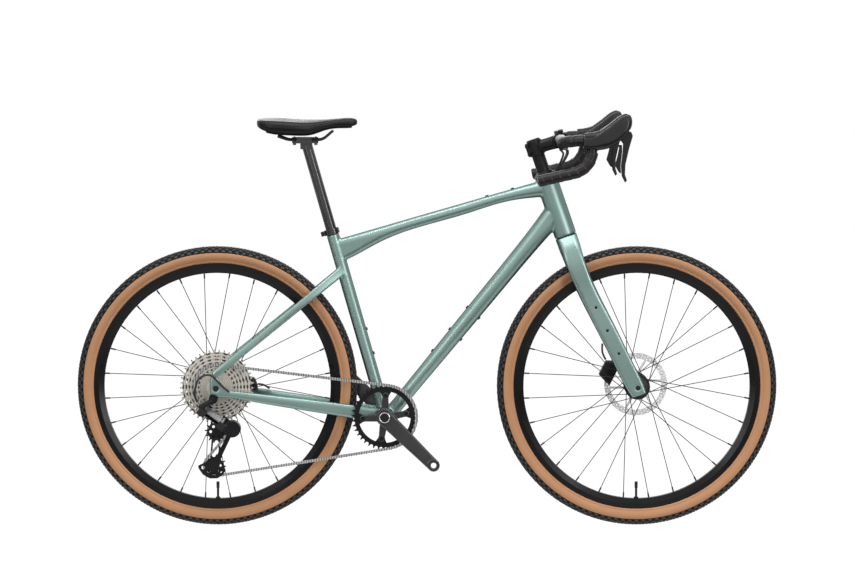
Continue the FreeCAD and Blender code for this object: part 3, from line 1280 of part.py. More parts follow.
def link_plate(low):
    sides = plate([Vector(0, low, -plate_radius * 0.82), Vector(pitch, low, -plate_radius * 0.82),
                   Vector(pitch, low, plate_radius * 0.82), Vector(0, low, plate_radius * 0.82)],
                  LEFT * plate_thick)
    ends = [cylinder(plate_radius, plate_thick, Vector(spot, low, 0), LEFT) for spot in (0, pitch)]
    return sides.multiFuse(ends)


pin_clear = 0.3
chain_pin = 1.6
rollers = [cylinder(size("roller_radius"), 2 * roller_half, Vector(spot, -roller_half, 0), LEFT)
           for spot in (0, pitch)]
inner_link = link_plate(roller_half).multiFuse([link_plate(-roller_half - plate_thick)] + rollers)
for spot in (0, pitch):
    inner_link = inner_link.cut(cylinder(chain_pin + pin_clear, 10, Vector(spot, -5, 0), LEFT))
outer_low = roller_half + plate_thick + 0.06
pins = [cylinder(chain_pin, 2 * (outer_low + plate_thick) + 0.2,
                 Vector(spot, -outer_low - plate_thick - 0.1, 0), LEFT)
        for spot in (0, pitch)]
outer_link = link_plate(outer_low).multiFuse([link_plate(-outer_low - plate_thick)] + pins)
chain_solids = []
for place in range(links):
    here = chain_point(place)
    there = chain_point((place + 1) % links)
    along = (there - here).normalize()
    sideways = (LEFT - along * LEFT.dot(along)).normalize()
    link = (inner_link if place % 2 == 0 else outer_link).copy()
    link.Placement = Placement(here, Rotation(along, sideways, along.cross(sideways), "XYZ"))
    chain_solids.append(link)
node("chain", [shaped("chain", Part.makeCompound(chain_solids))])

# Derailleur hanger below the right dropout, with a threaded eye for the knuckle bolt.
hanger_eye = rear_axle_spot + Vector(-9, 0, -30)
hanger_corners = [rear_axle_spot + Vector(ahead, -drop_outer, up) for ahead, up in (
    (-13.6, -15.4), (5.9, -22.2), (2, -35), (-8, -39.5), (-17, -35), (-17.5, -24))]
hanger = plate(hanger_corners, LEFT * size("dropout_thickness"))
hanger = hanger.cut(cylinder(5.05, 40, hanger_eye - LEFT * (drop_outer + 10), LEFT))
node("derailleur_hanger", [shaped("derailleur_hanger", hanger)])

# Derailleur linkage frame: along the links, along the sideways swing and along the pins.
link_along = Vector(0.802, 0, -0.597).normalize()
link_down = Vector(link_along.z, 0, -link_along.x)
swing_share = 0.7
swing = (LEFT * swing_share + link_down * math.sqrt(1 - swing_share ** 2)).normalize()
pin_axis = link_along.cross(swing)
link_length = 52.0
link_spread = 14.0
outer_pivot = rear_axle_spot + Vector(-24.5, -(drop_middle - 5), -52.5)
linkage = Placement(outer_pivot, Rotation(link_along, swing, pin_axis, "XYZ"))
link_half_height = 9.0
link_half_thick = 2.2
link_end = 5.4
link_pin = 2.0


def in_linkage(shape):
    shape.Placement = linkage.multiply(shape.Placement)
    return shape


def link_bar(sideways):
    bar = Part.makeBox(link_length, 2 * link_half_thick, 2 * link_half_height,
                       Vector(0, sideways - link_half_thick, -link_half_height))
    ends = [cylinder(link_end, 2 * link_half_height, Vector(along, sideways, -link_half_height), UP)
            for along in (0, link_length)]
    drills = [cylinder(link_pin + gap, 40, Vector(along, sideways, -20), UP) for along in (0, link_length)]
    return in_linkage(bar.multiFuse(ends).cut(Part.makeCompound(drills)))


def clevis(along_low, along_high, web_low, web_high, pin_place):
    """Two cheeks, a web and two pins that hold the ends of both links."""
    pieces = []
    cheek_thick = 3.0
    for low in (-link_half_height - 0.4 - cheek_thick, link_half_height + 0.4):
        pieces.append(Part.makeBox(along_high - along_low, link_spread + 14, cheek_thick,
                                   Vector(along_low, -7, low)))
    reach = link_half_height + 0.4 + cheek_thick
    pieces.append(Part.makeBox(web_high - web_low, link_spread + 14, 2 * reach, Vector(web_low, -7, -reach)))
    for sideways in (0, link_spread):
        pieces.append(cylinder(link_pin, 2 * reach - 1, Vector(pin_place, sideways, -reach + 0.5), UP))
    return in_linkage(pieces[0].multiFuse(pieces[1:]))


knuckle_arm = hanger_eye - LEFT * (drop_outer + 8)
knuckle_turn = outer_pivot - link_along * 12
knuckle_bend = Vector(knuckle_turn.x - 2, knuckle_arm.y, knuckle_turn.z)
knuckle_radius = 7.0
fixed_knuckle = clevis(-14, 7, -15, -8.5, 0).multiFuse([
    cylinder(knuckle_radius + 1.5, 13, hanger_eye - LEFT * (drop_outer + 14), LEFT),
    cylinder(4.95, size("dropout_thickness") + 2, hanger_eye - LEFT * (drop_outer + 1.2), LEFT),
    cylinder(knuckle_radius, (knuckle_bend - knuckle_arm).Length, knuckle_arm, knuckle_bend - knuckle_arm),
    cylinder(knuckle_radius, (knuckle_turn - knuckle_bend).Length, knuckle_bend, knuckle_turn - knuckle_bend),
    Part.makeSphere(knuckle_radius, knuckle_bend)])
for sideways in (0, link_spread):
    room = cylinder(link_end + 0.4, 2 * link_half_height + 0.7, Vector(0, sideways, -link_half_height - 0.35), UP)
    pin = cylinder(link_pin, 2 * link_half_height + 2, Vector(0, sideways, -link_half_height - 1), UP)
    fixed_knuckle = fixed_knuckle.cut(in_linkage(room)).fuse(in_linkage(pin))
node("derailleur_knuckle", [shaped("derailleur_knuckle", fixed_knuckle)])
node("derailleur_outer_link", [shaped("derailleur_outer_link", link_bar(0))])
node("derailleur_inner_link", [shaped("derailleur_inner_link", link_bar(link_spread))])

# Moving knuckle with its clutch housing, cage and two pulleys.
cage_outer = run_side - 6.0
cage_inner = run_side + 6.0
housing_low = cage_outer - 3.0
housing_spot = Vector(cage_pivot.x, 0, cage_pivot.z)
housing_depth = 32.0
housing_radius = 21.0
housing = cylinder(housing_radius, housing_depth, housing_spot + LEFT * (housing_low - housing_depth), LEFT)
moving_knuckle = clevis(link_length - 7, link_length + 14, link_length + 8.5, link_length + 15, link_length)
moving_knuckle = moving_knuckle.fuse(housing)
for sideways in (0, link_spread):
    sweep = Part.makeBox(60, 11.6, 2 * link_half_height + 0.7,
                         Vector(link_length - 60 + 6, sideways - 5.8, -link_half_height - 0.35))
    pin = in_linkage(cylinder(link_pin, 2 * link_half_height + 2,
                              Vector(link_length, sideways, -link_half_height - 1), UP))
    moving_knuckle = moving_knuckle.cut(in_linkage(sweep)).fuse(pin)
shaft_radius = 6.0
shaft_depth = 14.0
moving_knuckle = moving_knuckle.cut(cylinder(shaft_radius + gap, shaft_depth + 1,
                                             housing_spot + LEFT * (housing_low + 1), LEFT * -1))
plate_depth = 2.2
outer_side = cage_outer - plate_depth
plate_sweep = 58.0
moving_knuckle = moving_knuckle.cut(cylinder(plate_sweep, 30, housing_spot + LEFT * (outer_side - gap), LEFT))
node("derailleur_moving_knuckle", [shaped("derailleur_moving_knuckle", moving_knuckle)])


def capsule(first, second, first_radius, second_radius, side, depth):
    """Flat bar with round ends between two side-view points."""
    along = (second - first).normalize()
    across = Vector(-along.z, 0, along.x)
    lift = LEFT * side
    corners = [first + across * first_radius, second + across * second_radius,
               second - across * second_radius, first - across * first_radius]
    bar = plate([corner + lift for corner in corners], LEFT * depth)
    return bar.multiFuse([cylinder(first_radius, depth, first + lift, LEFT),
                          cylinder(second_radius, depth, second + lift, LEFT)])


lobe_form = [(-41, 1), (-8, 16.5), (10, 18), (22, 8), (29, -11), (22, -22), (8, -31.6), (-12, -31.6),
             (-29, -22), (-40, -6)]
lobe = plate([tension_spot + turned_about(Vector(ahead, 0, up), slack_turn) + LEFT * outer_side for ahead,
              up in lobe_form],
             LEFT * plate_depth)
windows = [cylinder(4.6, 10, tension_spot + turned_about(Vector(ahead, 0, up),
                                                         slack_turn) + LEFT * (outer_side - 4), LEFT)
           for ahead, up in ((-28, -4), (-14, -14), (0, -20), (15, -13), (15, 3))]
inner_depth = 2.0
window_top = guide_spot + (tension_spot - guide_spot) * 0.27
window_end = guide_spot + (tension_spot - guide_spot) * 0.72
inner_plate = capsule(guide_spot, tension_spot, 11.0, 13.0, cage_inner, inner_depth)
inner_plate = inner_plate.cut(capsule(window_top, window_end, 7.0, 8.0, cage_inner - 1, inner_depth + 2))
cage = capsule(housing_spot, guide_spot, 14.0, 11.0, outer_side, plate_depth).multiFuse([
    capsule(housing_spot, tension_spot, 5.5, 6.5, outer_side, plate_depth),
    lobe.cut(Part.makeCompound(windows)),
    inner_plate,
    cylinder(shaft_radius, shaft_depth, housing_spot + LEFT * outer_side, LEFT * -1)])
pulley_pin = 2.5
cage = cage.multiFuse([cylinder(pulley_pin, cage_inner - outer_side + 2, spot + LEFT * outer_side, LEFT)
                       for spot in (guide_spot, tension_spot)])
node("derailleur_cage", [shaped("derailleur_cage", cage)])


def pulley(spot, phase):
    wheel_solid = sprocket(pulley_teeth, phase, run_side, thick, pulley_pin + gap)
    hub = tube(8.0, pulley_pin + gap, 11.4, LEFT * (run_side - 5.7), LEFT)
    holes = [cylinder(3.6, 10, LEFT * (run_side - 5) + turned_about(Vector(14.5, 0, 0), 60 * place), LEFT)
             for place in range(6)]
    solid = wheel_solid.fuse(hub).cut(Part.makeCompound(holes))
    solid.translate(spot)
    return solid


node("guide_pulley", [shaped("guide_pulley", pulley(guide_spot, guide_phase))])
node("tension_pulley", [shaped("tension_pulley", pulley(tension_spot, tension_phase))])


# Flat-mount calipers: a body that straddles the rotor edge, trimmed to its leg, with two pads.
caliper_half = 33.0
caliper_room = 4.4
pad_thickness = 3.0
pad_gap = 0.35


caliper_width = 25.0


def caliper(name, frame, axle_spot, side, high, trim):
    """Caliper in a frame whose X runs along the mount, Z away from it, rotor plane at the given side."""
    body = lofted([
        rounded_section(Vector(0, side, 0.2), FORWARD, LEFT, 2 * caliper_half, caliper_width - 4, 0.5),
        rounded_section(Vector(0, side, 8), FORWARD, LEFT, 2 * caliper_half - 4, caliper_width, 0.5),
        rounded_section(Vector(0, side, high), FORWARD, LEFT, 2 * caliper_half - 26, caliper_width, 0.6)])
    body.Placement = frame
    envelope = cylinder(size("rotor_radius") + 2.5, 2 * caliper_room,
                        axle_spot + LEFT * (side - caliper_room), LEFT)
    pieces = [shaped(name + "_body", body.cut(envelope).cut(trim))]
    near = size("rotor_thickness") / 2 + pad_gap
    for low in (near, -near - pad_thickness):
        pad = Part.makeBox(30, pad_thickness, 14, Vector(-15, side + low, 7.5))
        pad.Placement = frame.multiply(pad.Placement)
        pieces.append(shaped(name + "_pad", pad.common(envelope)))
    node(name, pieces)


stay_slope = (chainstay_foot - bracket).normalize()
stay_lift = Vector(-stay_slope.z, 0, stay_slope.x) * -1
mount_spot = bracket + (chainstay_foot - bracket) * 0.92 + stay_lift * (chain_depth * 0.34)
rear_frame = Placement(mount_spot, Rotation(stay_slope * -1, LEFT, stay_lift, "XYZ"))
caliper("rear_caliper", rear_frame, rear_axle_spot, rear_rotor_side, 27.0, mirrored(chainstay_solid))
blade_slope = (steer_spot(blade_ahead(0.95), 0, -0.95 * fork_span)
               - steer_spot(blade_ahead(0.6), 0, -0.6 * fork_span)).normalize()
blade_back = Vector(blade_slope.z, 0, -blade_slope.x)
front_mount = steer_spot(blade_ahead(0.87), 0, -0.87 * fork_span) + blade_back * (leg_width / 2 + 0.5)
caliper_angle = math.radians(153.0)
caliper_out = Vector(math.cos(caliper_angle), 0, math.sin(caliper_angle))
caliper_along = Vector(math.sin(caliper_angle), 0, -math.cos(caliper_angle))
front_frame = Placement(front_axle_spot + caliper_out * (size("rotor_radius") - 22),
                        Rotation(caliper_along, LEFT, caliper_out, "XYZ"))
caliper("front_caliper", front_frame, front_axle_spot, front_rotor_side, 38.0, fork_solid)

# Hoses and housings: bar to headset cover, fork to front caliper, stays to rear caliper and derailleur.
hose = size("hose_radius")


def cord(label, points):
    return shaped(label, pipe(path_wire(points, easy_radii(points)), hose))


cover_front = stack_low + size("cover_height") * 0.45
control_cords = []
for side, drop in ((-1, 0), (1, 0), (-1, 7)):
    start = bar_centre + Vector(6 - drop, side * (bulge_end - 2), -size("bar_radius") - 6.5 - drop * 0.6)
    entry = steer_spot(size("head_tube_radius") - 1.1, side * (5 + 0.9 * drop), cover_front)
    points = [start, bar_centre + Vector(22 - 2 * drop, side * (36 - drop), -26 - drop),
              bar_centre + Vector(6 - drop, side * (12 + drop), -58), entry]
    control_cords.append(cord("control_hose", points))
front_top = front_mount + blade_back * 12 - blade_slope * 34 + LEFT * (front_rotor_side + 6)
control_cords.append(cord("front_hose", [
    front_mount - blade_slope * 74 + blade_back * (hose - 1.3) + LEFT * (front_half + 3),
    front_mount - blade_slope * 55 + blade_back * 12 + LEFT * (front_half - 1), front_top]))
node("control_cables", control_cords)
loop_side = -(drop_outer + 7)
loop = [Vector(34, -drop_outer - hose - 0.2, -8), Vector(12, loop_side, 12), Vector(-14, loop_side, 40),
        Vector(-45, loop_side, 27), Vector(-54, loop_side - 1, -14), Vector(-46, loop_side + 3, -33)]
rear_hose_start = mount_spot + stay_slope * -62 + stay_lift * (hose + 3) + LEFT * (rear_rotor_side - 6)
rear_hose = [rear_hose_start, mount_spot + stay_slope * -46 + stay_lift * 12 + LEFT * (rear_rotor_side + 2),
             mount_spot + stay_slope * -31.3 + stay_lift * 11 + LEFT * (rear_rotor_side + 7)]
node("frame_cables", [cord("shift_loop", [rear_axle_spot + spot for spot in loop]),
                      cord("rear_hose", rear_hose)])

# Every piece must be sound before it is written out.
document.recompute()
for piece in document.Objects:
    if "Invalid" in piece.State or "Error" in piece.State:
        raise RuntimeError("piece did not build: " + piece.Label)
unsound = [part.Label for part in NODES
           if part.Shape.isNull() or not part.Shape.isValid() or not part.Shape.Solids]
if unsound:
    raise RuntimeError("pieces without a sound solid: " + ", ".join(unsound))
os.makedirs("parts", exist_ok=True)
for part in NODES:
    part.Shape.exportStep("parts/%s.step" % part.Label)
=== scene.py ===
import json
import math
import bpy
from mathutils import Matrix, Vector
from mathutils.bvhtree import BVHTree
from mathutils.kdtree import KDTree

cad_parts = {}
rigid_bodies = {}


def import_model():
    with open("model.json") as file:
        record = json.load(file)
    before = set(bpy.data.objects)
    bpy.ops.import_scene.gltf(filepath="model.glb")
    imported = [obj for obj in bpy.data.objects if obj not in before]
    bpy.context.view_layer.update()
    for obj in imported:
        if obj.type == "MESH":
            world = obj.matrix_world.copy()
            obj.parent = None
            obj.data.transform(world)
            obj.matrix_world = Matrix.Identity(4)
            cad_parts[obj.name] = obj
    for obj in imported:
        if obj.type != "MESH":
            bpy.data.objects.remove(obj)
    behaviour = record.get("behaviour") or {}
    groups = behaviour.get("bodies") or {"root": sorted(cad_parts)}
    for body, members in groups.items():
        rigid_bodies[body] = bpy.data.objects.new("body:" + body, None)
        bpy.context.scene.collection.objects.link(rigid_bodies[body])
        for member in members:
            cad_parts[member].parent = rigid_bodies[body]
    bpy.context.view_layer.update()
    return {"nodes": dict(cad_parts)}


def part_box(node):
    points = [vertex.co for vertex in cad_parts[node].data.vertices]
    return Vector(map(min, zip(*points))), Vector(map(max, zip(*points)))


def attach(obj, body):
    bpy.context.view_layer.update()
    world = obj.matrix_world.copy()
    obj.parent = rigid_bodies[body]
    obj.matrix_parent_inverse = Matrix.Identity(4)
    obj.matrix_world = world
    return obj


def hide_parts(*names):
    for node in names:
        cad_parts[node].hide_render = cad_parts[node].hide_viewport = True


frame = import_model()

nodes = frame["nodes"]
scene = bpy.context.scene

# The studio: a pale sheet under the bike, a white room, soft panels overhead and to the sides,
# and a long lens that looks at the chain side from a little above the bars.
scene.view_settings.view_transform = "Standard"
eye = Vector((0.0011, -8.5, 1.22))
aim = Vector((0.0011, 0.0, 0.6115))
bpy.ops.object.camera_add(location=eye)
camera = bpy.context.object
camera.rotation_euler = (aim - eye).to_track_quat("-Z", "Y").to_euler()
camera.data.sensor_width = 36.0
camera.data.lens = 141.73
camera.data.clip_end = 60.0
scene.camera = camera


def soft_panel(spot, target, width, depth, watts):
    """A flat soft lamp that faces its target and is itself out of sight."""
    bpy.ops.object.light_add(type="AREA", location=spot)
    panel = bpy.context.object
    panel.data.shape = "RECTANGLE"
    panel.data.size = width
    panel.data.size_y = depth
    panel.data.energy = watts
    panel.visible_camera = False
    panel.rotation_euler = (Vector(target) - Vector(spot)).to_track_quat("-Z", "Y").to_euler()


frame_middle = (0.0, 0.0, 0.6)
soft_panel((0.0, -0.9, 3.4), (0.0, 0.0, 0.5), width=3.6, depth=0.7, watts=60.0)
soft_panel((-2.5, -3.4, 1.5), frame_middle, width=0.5, depth=2.6, watts=28.0)
soft_panel((2.7, -3.2, 1.5), frame_middle, width=0.5, depth=2.6, watts=46.0)
soft_panel((0.0, 3.4, 2.4), frame_middle, width=3.0, depth=1.0, watts=40.0)


def link(tree, source, output, target, socket):
    tree.links.new(source.outputs[output], target.inputs[socket])


def reckoned(tree, operation, second=None, third=None):
    """A Math node, whose second and third values may be fixed."""
    sum_node = tree.nodes.new("ShaderNodeMath")
    sum_node.operation = operation
    for place, value in ((1, second), (2, third)):
        if value is not None:
            sum_node.inputs[place].default_value = value
    return sum_node


def seen_directly(tree):
    """One for rays that show the room to the eye or in a mirror, and zero for rays that light the bike."""
    path = tree.nodes.new("ShaderNodeLightPath")
    first = reckoned(tree, "MAXIMUM")
    second = reckoned(tree, "MAXIMUM")
    link(tree, path, "Is Camera Ray", first, 0)
    link(tree, path, "Is Glossy Ray", first, 1)
    link(tree, first, 0, second, 0)
    link(tree, path, "Is Transmission Ray", second, 1)
    return second


def shared(tree, share, first, second, output):
    """Leads a mix of two shaders to the output, by the second one's share."""
    mix = tree.nodes.new("ShaderNodeMixShader")
    link(tree, share, 0, mix, 0)
    link(tree, first, 0, mix, 1)
    link(tree, second, 0, mix, 2)
    link(tree, mix, 0, tree.nodes[output], "Surface")


white = (1.0, 1.0, 1.0, 1.0)
room_fill = 0.36
room = bpy.data.worlds.new("white_room")
scene.world = room
room.use_nodes = True
room_tree = room.node_tree
room_light = room_tree.nodes["Background"]
room_light.inputs["Color"].default_value = white
room_light.inputs["Strength"].default_value = room_fill
room_white = room_tree.nodes.new("ShaderNodeBackground")
room_white.inputs["Color"].default_value = white
shared(room_tree, seen_directly(room_tree), room_light, room_white, "World Output")


def blank_finish(name):
    """A new material, with its node tree and its shader."""
    material = bpy.data.materials.new(name)
    material.use_nodes = True
    tree = material.node_tree
    return material, tree, tree.nodes["Principled BSDF"]


def dull_finish(name, tone, rough):
    """A plain grey without any shine, for the sheet and the cards."""
    material, tree, face = blank_finish(name)
    face.inputs["Base Color"].default_value = (tone, tone, tone, 1.0)
    face.inputs["Roughness"].default_value = rough
    face.inputs["Specular IOR Level"].default_value = 0.0
    return material, tree, face


sheet_glow_strength = 1.34
sheet_glow_share = 0.74
bpy.ops.mesh.primitive_plane_add(size=16.0, location=(0.0, 2.0, 0.0))
floor = bpy.context.object
floor.name = "studio_sheet"
bpy.ops.object.transform_apply(location=True)
sheet_finish, sheet_tree, sheet_face = dull_finish("studio_sheet", tone=0.34, rough=0.9)
sheet_glow = sheet_tree.nodes.new("ShaderNodeEmission")
sheet_glow.inputs["Strength"].default_value = sheet_glow_strength
sheet_share = reckoned(sheet_tree, "MULTIPLY", second=sheet_glow_share)
link(sheet_tree, seen_directly(sheet_tree), 0, sheet_share, 0)
shared(sheet_tree, sheet_share, sheet_face, sheet_glow, "Material Output")
floor.data.materials.append(sheet_finish)

upright = (0.0, math.pi / 2.0, 0.0)
lying = (0.0, 0.0, 0.0)
card_felt = dull_finish("card_felt", tone=0.03, rough=1.0)[0]


def dark_card(name, spot, turn, wide, deep):
    """A dull dark card outside the picture, which gives the paint and the metal their darker edges."""
    bpy.ops.mesh.primitive_plane_add(size=1.0, location=spot, rotation=turn)
    card = bpy.context.object
    card.name = name
    card.scale = (wide, deep, 1.0)
    bpy.ops.object.transform_apply(location=True, rotation=True, scale=True)
    card.visible_camera = False
    card.visible_shadow = False
    card.data.materials.append(card_felt)


dark_card("front_card", (0.0, -2.4, 0.004), lying, wide=5.0, deep=3.2)
dark_card("rear_card", (0.0, 2.2, 0.004), lying, wide=5.0, deep=3.6)
dark_card("left_card", (-3.4, -0.8, 0.9), upright, wide=1.8, deep=3.2)
dark_card("right_card", (3.4, -0.8, 0.9), upright, wide=1.8, deep=3.2)


# The frame: hydroformed light-alloy tubes, butted and welded, with the beads filed smooth
# and the whole shell sprayed in a metallic sage green under a satin clear coat.
seam_width = 0.00002
just_off = 0.00005
iron_in = 0.6
iron_out = -0.63
rounding = 0.5


def picked(pieces):
    """Selects these pieces alone, the first of them active."""
    bpy.ops.object.select_all(action="DESELECT")
    for piece in pieces:
        piece.select_set(True)
    bpy.context.view_layer.objects.active = pieces[0]


def called(piece, name):
    piece.name = name
    piece.data.name = name


def copied(name, names):
    """A joined copy of CAD pieces as one new mesh, with its seams merged."""
    picked([nodes[each] for each in names])
    bpy.ops.object.duplicate()
    piece = bpy.context.view_layer.objects.active
    if len(names) > 1:
        bpy.ops.object.join()
    bpy.ops.object.parent_clear(type="CLEAR_KEEP_TRANSFORM")
    called(piece, name)
    for key in [key for key in piece.keys() if key.startswith("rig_")]:
        del piece[key]
    piece.data.materials.clear()
    bpy.ops.object.mode_set(mode="EDIT")
    bpy.ops.mesh.select_all(action="SELECT")
    bpy.ops.mesh.remove_doubles(threshold=seam_width)
    bpy.ops.object.mode_set(mode="OBJECT")
    return piece


def applied(piece, kind, **settings):
    """One modifier, set and applied."""
    picked([piece])
    modifier = piece.modifiers.new(kind.lower(), kind)
    for key, value in settings.items():
        setattr(modifier, key, value)
    bpy.ops.object.modifier_apply(modifier=modifier.name)


def filled(piece, bore):
    """Takes the inner wall out of hollow tubes and closes their ends, so that a skin has one side."""
    tree = BVHTree.FromPolygons([point.co for point in piece.data.vertices],
                                [list(face.vertices) for face in piece.data.polygons])
    bpy.ops.object.mode_set(mode="EDIT")
    bpy.ops.mesh.select_all(action="DESELECT")
    bpy.ops.mesh.select_mode(type="FACE")
    bpy.ops.object.mode_set(mode="OBJECT")
    for face in piece.data.polygons:
        start = face.center + face.normal * just_off
        face.select = tree.ray_cast(start, face.normal, bore)[0] is not None
    bpy.ops.object.mode_set(mode="EDIT")
    bpy.ops.mesh.delete(type="FACE")
    bpy.ops.mesh.select_all(action="SELECT")
    bpy.ops.mesh.fill_holes(sides=0)
    bpy.ops.object.mode_set(mode="OBJECT")


def softened(name, names, grain, rounds, hollow=(), bore=0.06, ironed=0):
    """CAD pieces run together into one skin, its edges rounded over and its ripples ironed out."""
    cores = []
    for each in hollow:
        cores.append(copied(name + "_" + each, [each]))
        filled(cores[-1], bore)
    solid = [each for each in names if each not in hollow]
    if solid:
        cores.append(copied(name, solid))
    piece = cores[-1]
    picked(cores[::-1])
    if len(cores) > 1:
        bpy.ops.object.join()
    called(piece, name)
    applied(piece, "REMESH", mode="VOXEL", voxel_size=grain)
    for turn in range(ironed):
        applied(piece, "SMOOTH", factor=iron_in, iterations=1)
        applied(piece, "SMOOTH", factor=iron_out, iterations=1)
    applied(piece, "SMOOTH", factor=rounding, iterations=rounds)
    bpy.ops.object.shade_smooth()
    return piece


def empty_group(name, inputs, outputs):
    """A shader group with its sockets, and the nodes that lead in, lead out and give the place."""
    group = bpy.data.node_groups.new(name, "ShaderNodeTree")
    for way, sockets in (("INPUT", inputs), ("OUTPUT", outputs)):
        for socket, kind in sockets.items():
            group.interface.new_socket(socket, in_out=way, socket_type=kind)
    inside = group.nodes.new("NodeGroupInput")
    outside = group.nodes.new("NodeGroupOutput")
    return group, inside, outside, group.nodes.new("ShaderNodeTexCoord")


def speckle_group():
    """Fine random variation of a finish at two scales, specks and clouds, on object coordinates."""
    group, inside, outside, place = empty_group(
        "fine_speckle", {"Scale": "NodeSocketFloat", "Cloud Scale": "NodeSocketFloat"},
        {"Speck": "NodeSocketFloat", "Cloud": "NodeSocketFloat"})
    for scale, detail, output in (("Scale", 2.0, "Speck"), ("Cloud Scale", 5.0, "Cloud")):
        noise = group.nodes.new("ShaderNodeTexNoise")
        noise.inputs["Detail"].default_value = detail
        link(group, place, "Object", noise, "Vector")
        link(group, inside, scale, noise, "Scale")
        link(group, noise, 0, outside, output)
    return group


fine_speckle = speckle_group()
cloud_part = 0.55
speck_part = 0.45
cloud_low = 0.3
cloud_high = 0.7
gloss_drift = 0.05
relief_depth = 0.0004


def two_toned(tree, dark=None, light=None):
    """A Mix node between a dark and a light tone, either of which may be linked later."""
    tones = tree.nodes.new("ShaderNodeMix")
    tones.data_type = "RGBA"
    for socket, tone in (("A", dark), ("B", light)):
        if tone:
            tones.inputs[socket].default_value = (*tone, 1.0)
    return tones


def finish_of(name, dark, light, rough, metal=0.0, speck=900.0, cloud=14.0, bump=0.0, shine=0.5,
              edge=(1.0, 1.0, 1.0)):
    """A finish between two tones, mottled at two scales, with gloss that drifts and a fine surface grain."""
    material, tree, face = blank_finish(name)
    face.inputs["Metallic"].default_value = metal
    face.inputs["Specular IOR Level"].default_value = shine
    face.inputs["Specular Tint"].default_value = (*edge, 1.0)
    mottle = tree.nodes.new("ShaderNodeGroup")
    mottle.node_tree = fine_speckle
    mottle.inputs["Scale"].default_value = speck
    mottle.inputs["Cloud Scale"].default_value = cloud
    both = reckoned(tree, "MULTIPLY_ADD", second=cloud_part)
    specks = reckoned(tree, "MULTIPLY", second=speck_part)
    tones = two_toned(tree, dark, light)
    link(tree, mottle, "Speck", specks, 0)
    link(tree, mottle, "Cloud", both, 0)
    link(tree, specks, 0, both, 2)
    link(tree, both, 0, tones, "Factor")
    link(tree, tones, "Result", face, "Base Color")
    gloss = tree.nodes.new("ShaderNodeMapRange")
    gloss.inputs["From Min"].default_value = cloud_low
    gloss.inputs["From Max"].default_value = cloud_high
    gloss.inputs["To Min"].default_value = rough - gloss_drift
    gloss.inputs["To Max"].default_value = rough + gloss_drift
    link(tree, mottle, "Cloud", gloss, "Value")
    link(tree, gloss, 0, face, "Roughness")
    if bump:
        relief = tree.nodes.new("ShaderNodeBump")
        relief.inputs["Strength"].default_value = bump
        relief.inputs["Distance"].default_value = relief_depth
        link(tree, mottle, "Speck", relief, "Height")
        link(tree, relief, "Normal", face, "Normal")
    return material


def dress(piece, material):
    piece.data.materials.clear()
    piece.data.materials.append(material)


sage_paint = finish_of("sage_paint", dark=(0.246, 0.354, 0.326), light=(0.268, 0.380, 0.352), rough=0.4,
                       metal=0.95, speck=500.0, cloud=7.0, shine=0.1, edge=(0.0, 0.01, 0.01))
hollow_tubes = ["head_tube", "top_tube", "down_tube", "seat_tube", "bottom_bracket_shell"]
frame_tubes = hollow_tubes + ["chainstays", "seatstays", "dropouts"]
welded_frame = softened("welded_frame", frame_tubes, grain=0.0024, rounds=5, hollow=hollow_tubes, ironed=16)
dress(welded_frame, sage_paint)
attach(welded_frame, "frame")
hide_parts(*frame_tubes)

# The fork: a moulded pair of blades with a steerer tube, painted as the frame is,
# with open axle ends and a small black plug in each threaded boss down the outside of the blades.
painted_fork = softened("painted_fork", ["fork"], grain=0.00147, rounds=6, ironed=16)
dress(painted_fork, sage_paint)
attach(painted_fork, "steering")
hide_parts("fork")


def joined(name, pieces):
    """Several new meshes as one piece, its place in its mesh."""
    picked(pieces)
    bpy.ops.object.join()
    bpy.ops.object.transform_apply(location=True, rotation=True, scale=True)
    called(pieces[0], name)
    return pieces[0]


plug_black = finish_of("plug_black", dark=(0.005, 0.005, 0.005), light=(0.012, 0.012, 0.012), rough=0.5,
                       speck=1500.0, shine=0.3)
plug_radius = 0.0036
plug_bulge = 0.22
boss_spots = ((0.424775, 0.059506, 0.558263), (0.453621, 0.062186, 0.500459), (0.482467, 0.063721, 0.442656))
plugs = []
for ahead, aside, up in boss_spots:
    for side in (-1.0, 1.0):
        bpy.ops.mesh.primitive_uv_sphere_add(segments=20, ring_count=10, radius=plug_radius,
                                             location=(ahead, side * aside, up), scale=(1.0, plug_bulge, 1.0))
        plugs.append(bpy.context.object)
        dress(plugs[-1], plug_black)
        bpy.ops.object.shade_smooth()
fork_plugs = joined("fork_plugs", plugs)
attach(fork_plugs, "steering")

# The tyres: a supple casing with a tan, faintly ribbed sidewall and a black tread of low blocks,
# small and close along the middle and larger towards the shoulders, moulded in one with the cap.
tread_rubber = finish_of("tread_rubber", dark=(0.006, 0.006, 0.006), light=(0.020, 0.020, 0.020), rough=0.7,
                         speck=600.0, bump=0.3, shine=0.15)
# The blocks take a lighter copy of the tread rubber, a painted highlight on the knobs.
knob_highlight_rubber = finish_of("knob_highlight_rubber", dark=(0.018, 0.018, 0.019), light=(0.050, 0.050, 0.052), rough=0.6,
                        speck=600.0, bump=0.2)
tan_wall = finish_of("tan_wall", dark=(0.60, 0.300, 0.150), light=(0.74, 0.395, 0.215), rough=0.75,
                     speck=1300.0, cloud=20.0, bump=0.15, shine=0.2)
casing_middle = 0.3318
casing_half = 0.0209
lip_radius = 0.3168
lip_half = 0.0045
lip_side = 0.0118
hoop_steps = 160
sidewall_edge = math.radians(76.0)
across = (math.pi / 2.0, 0.0, 0.0)
tread_pitches = 124
block_root = 0.001
block_taper = (0.78, 0.8, 1.0)
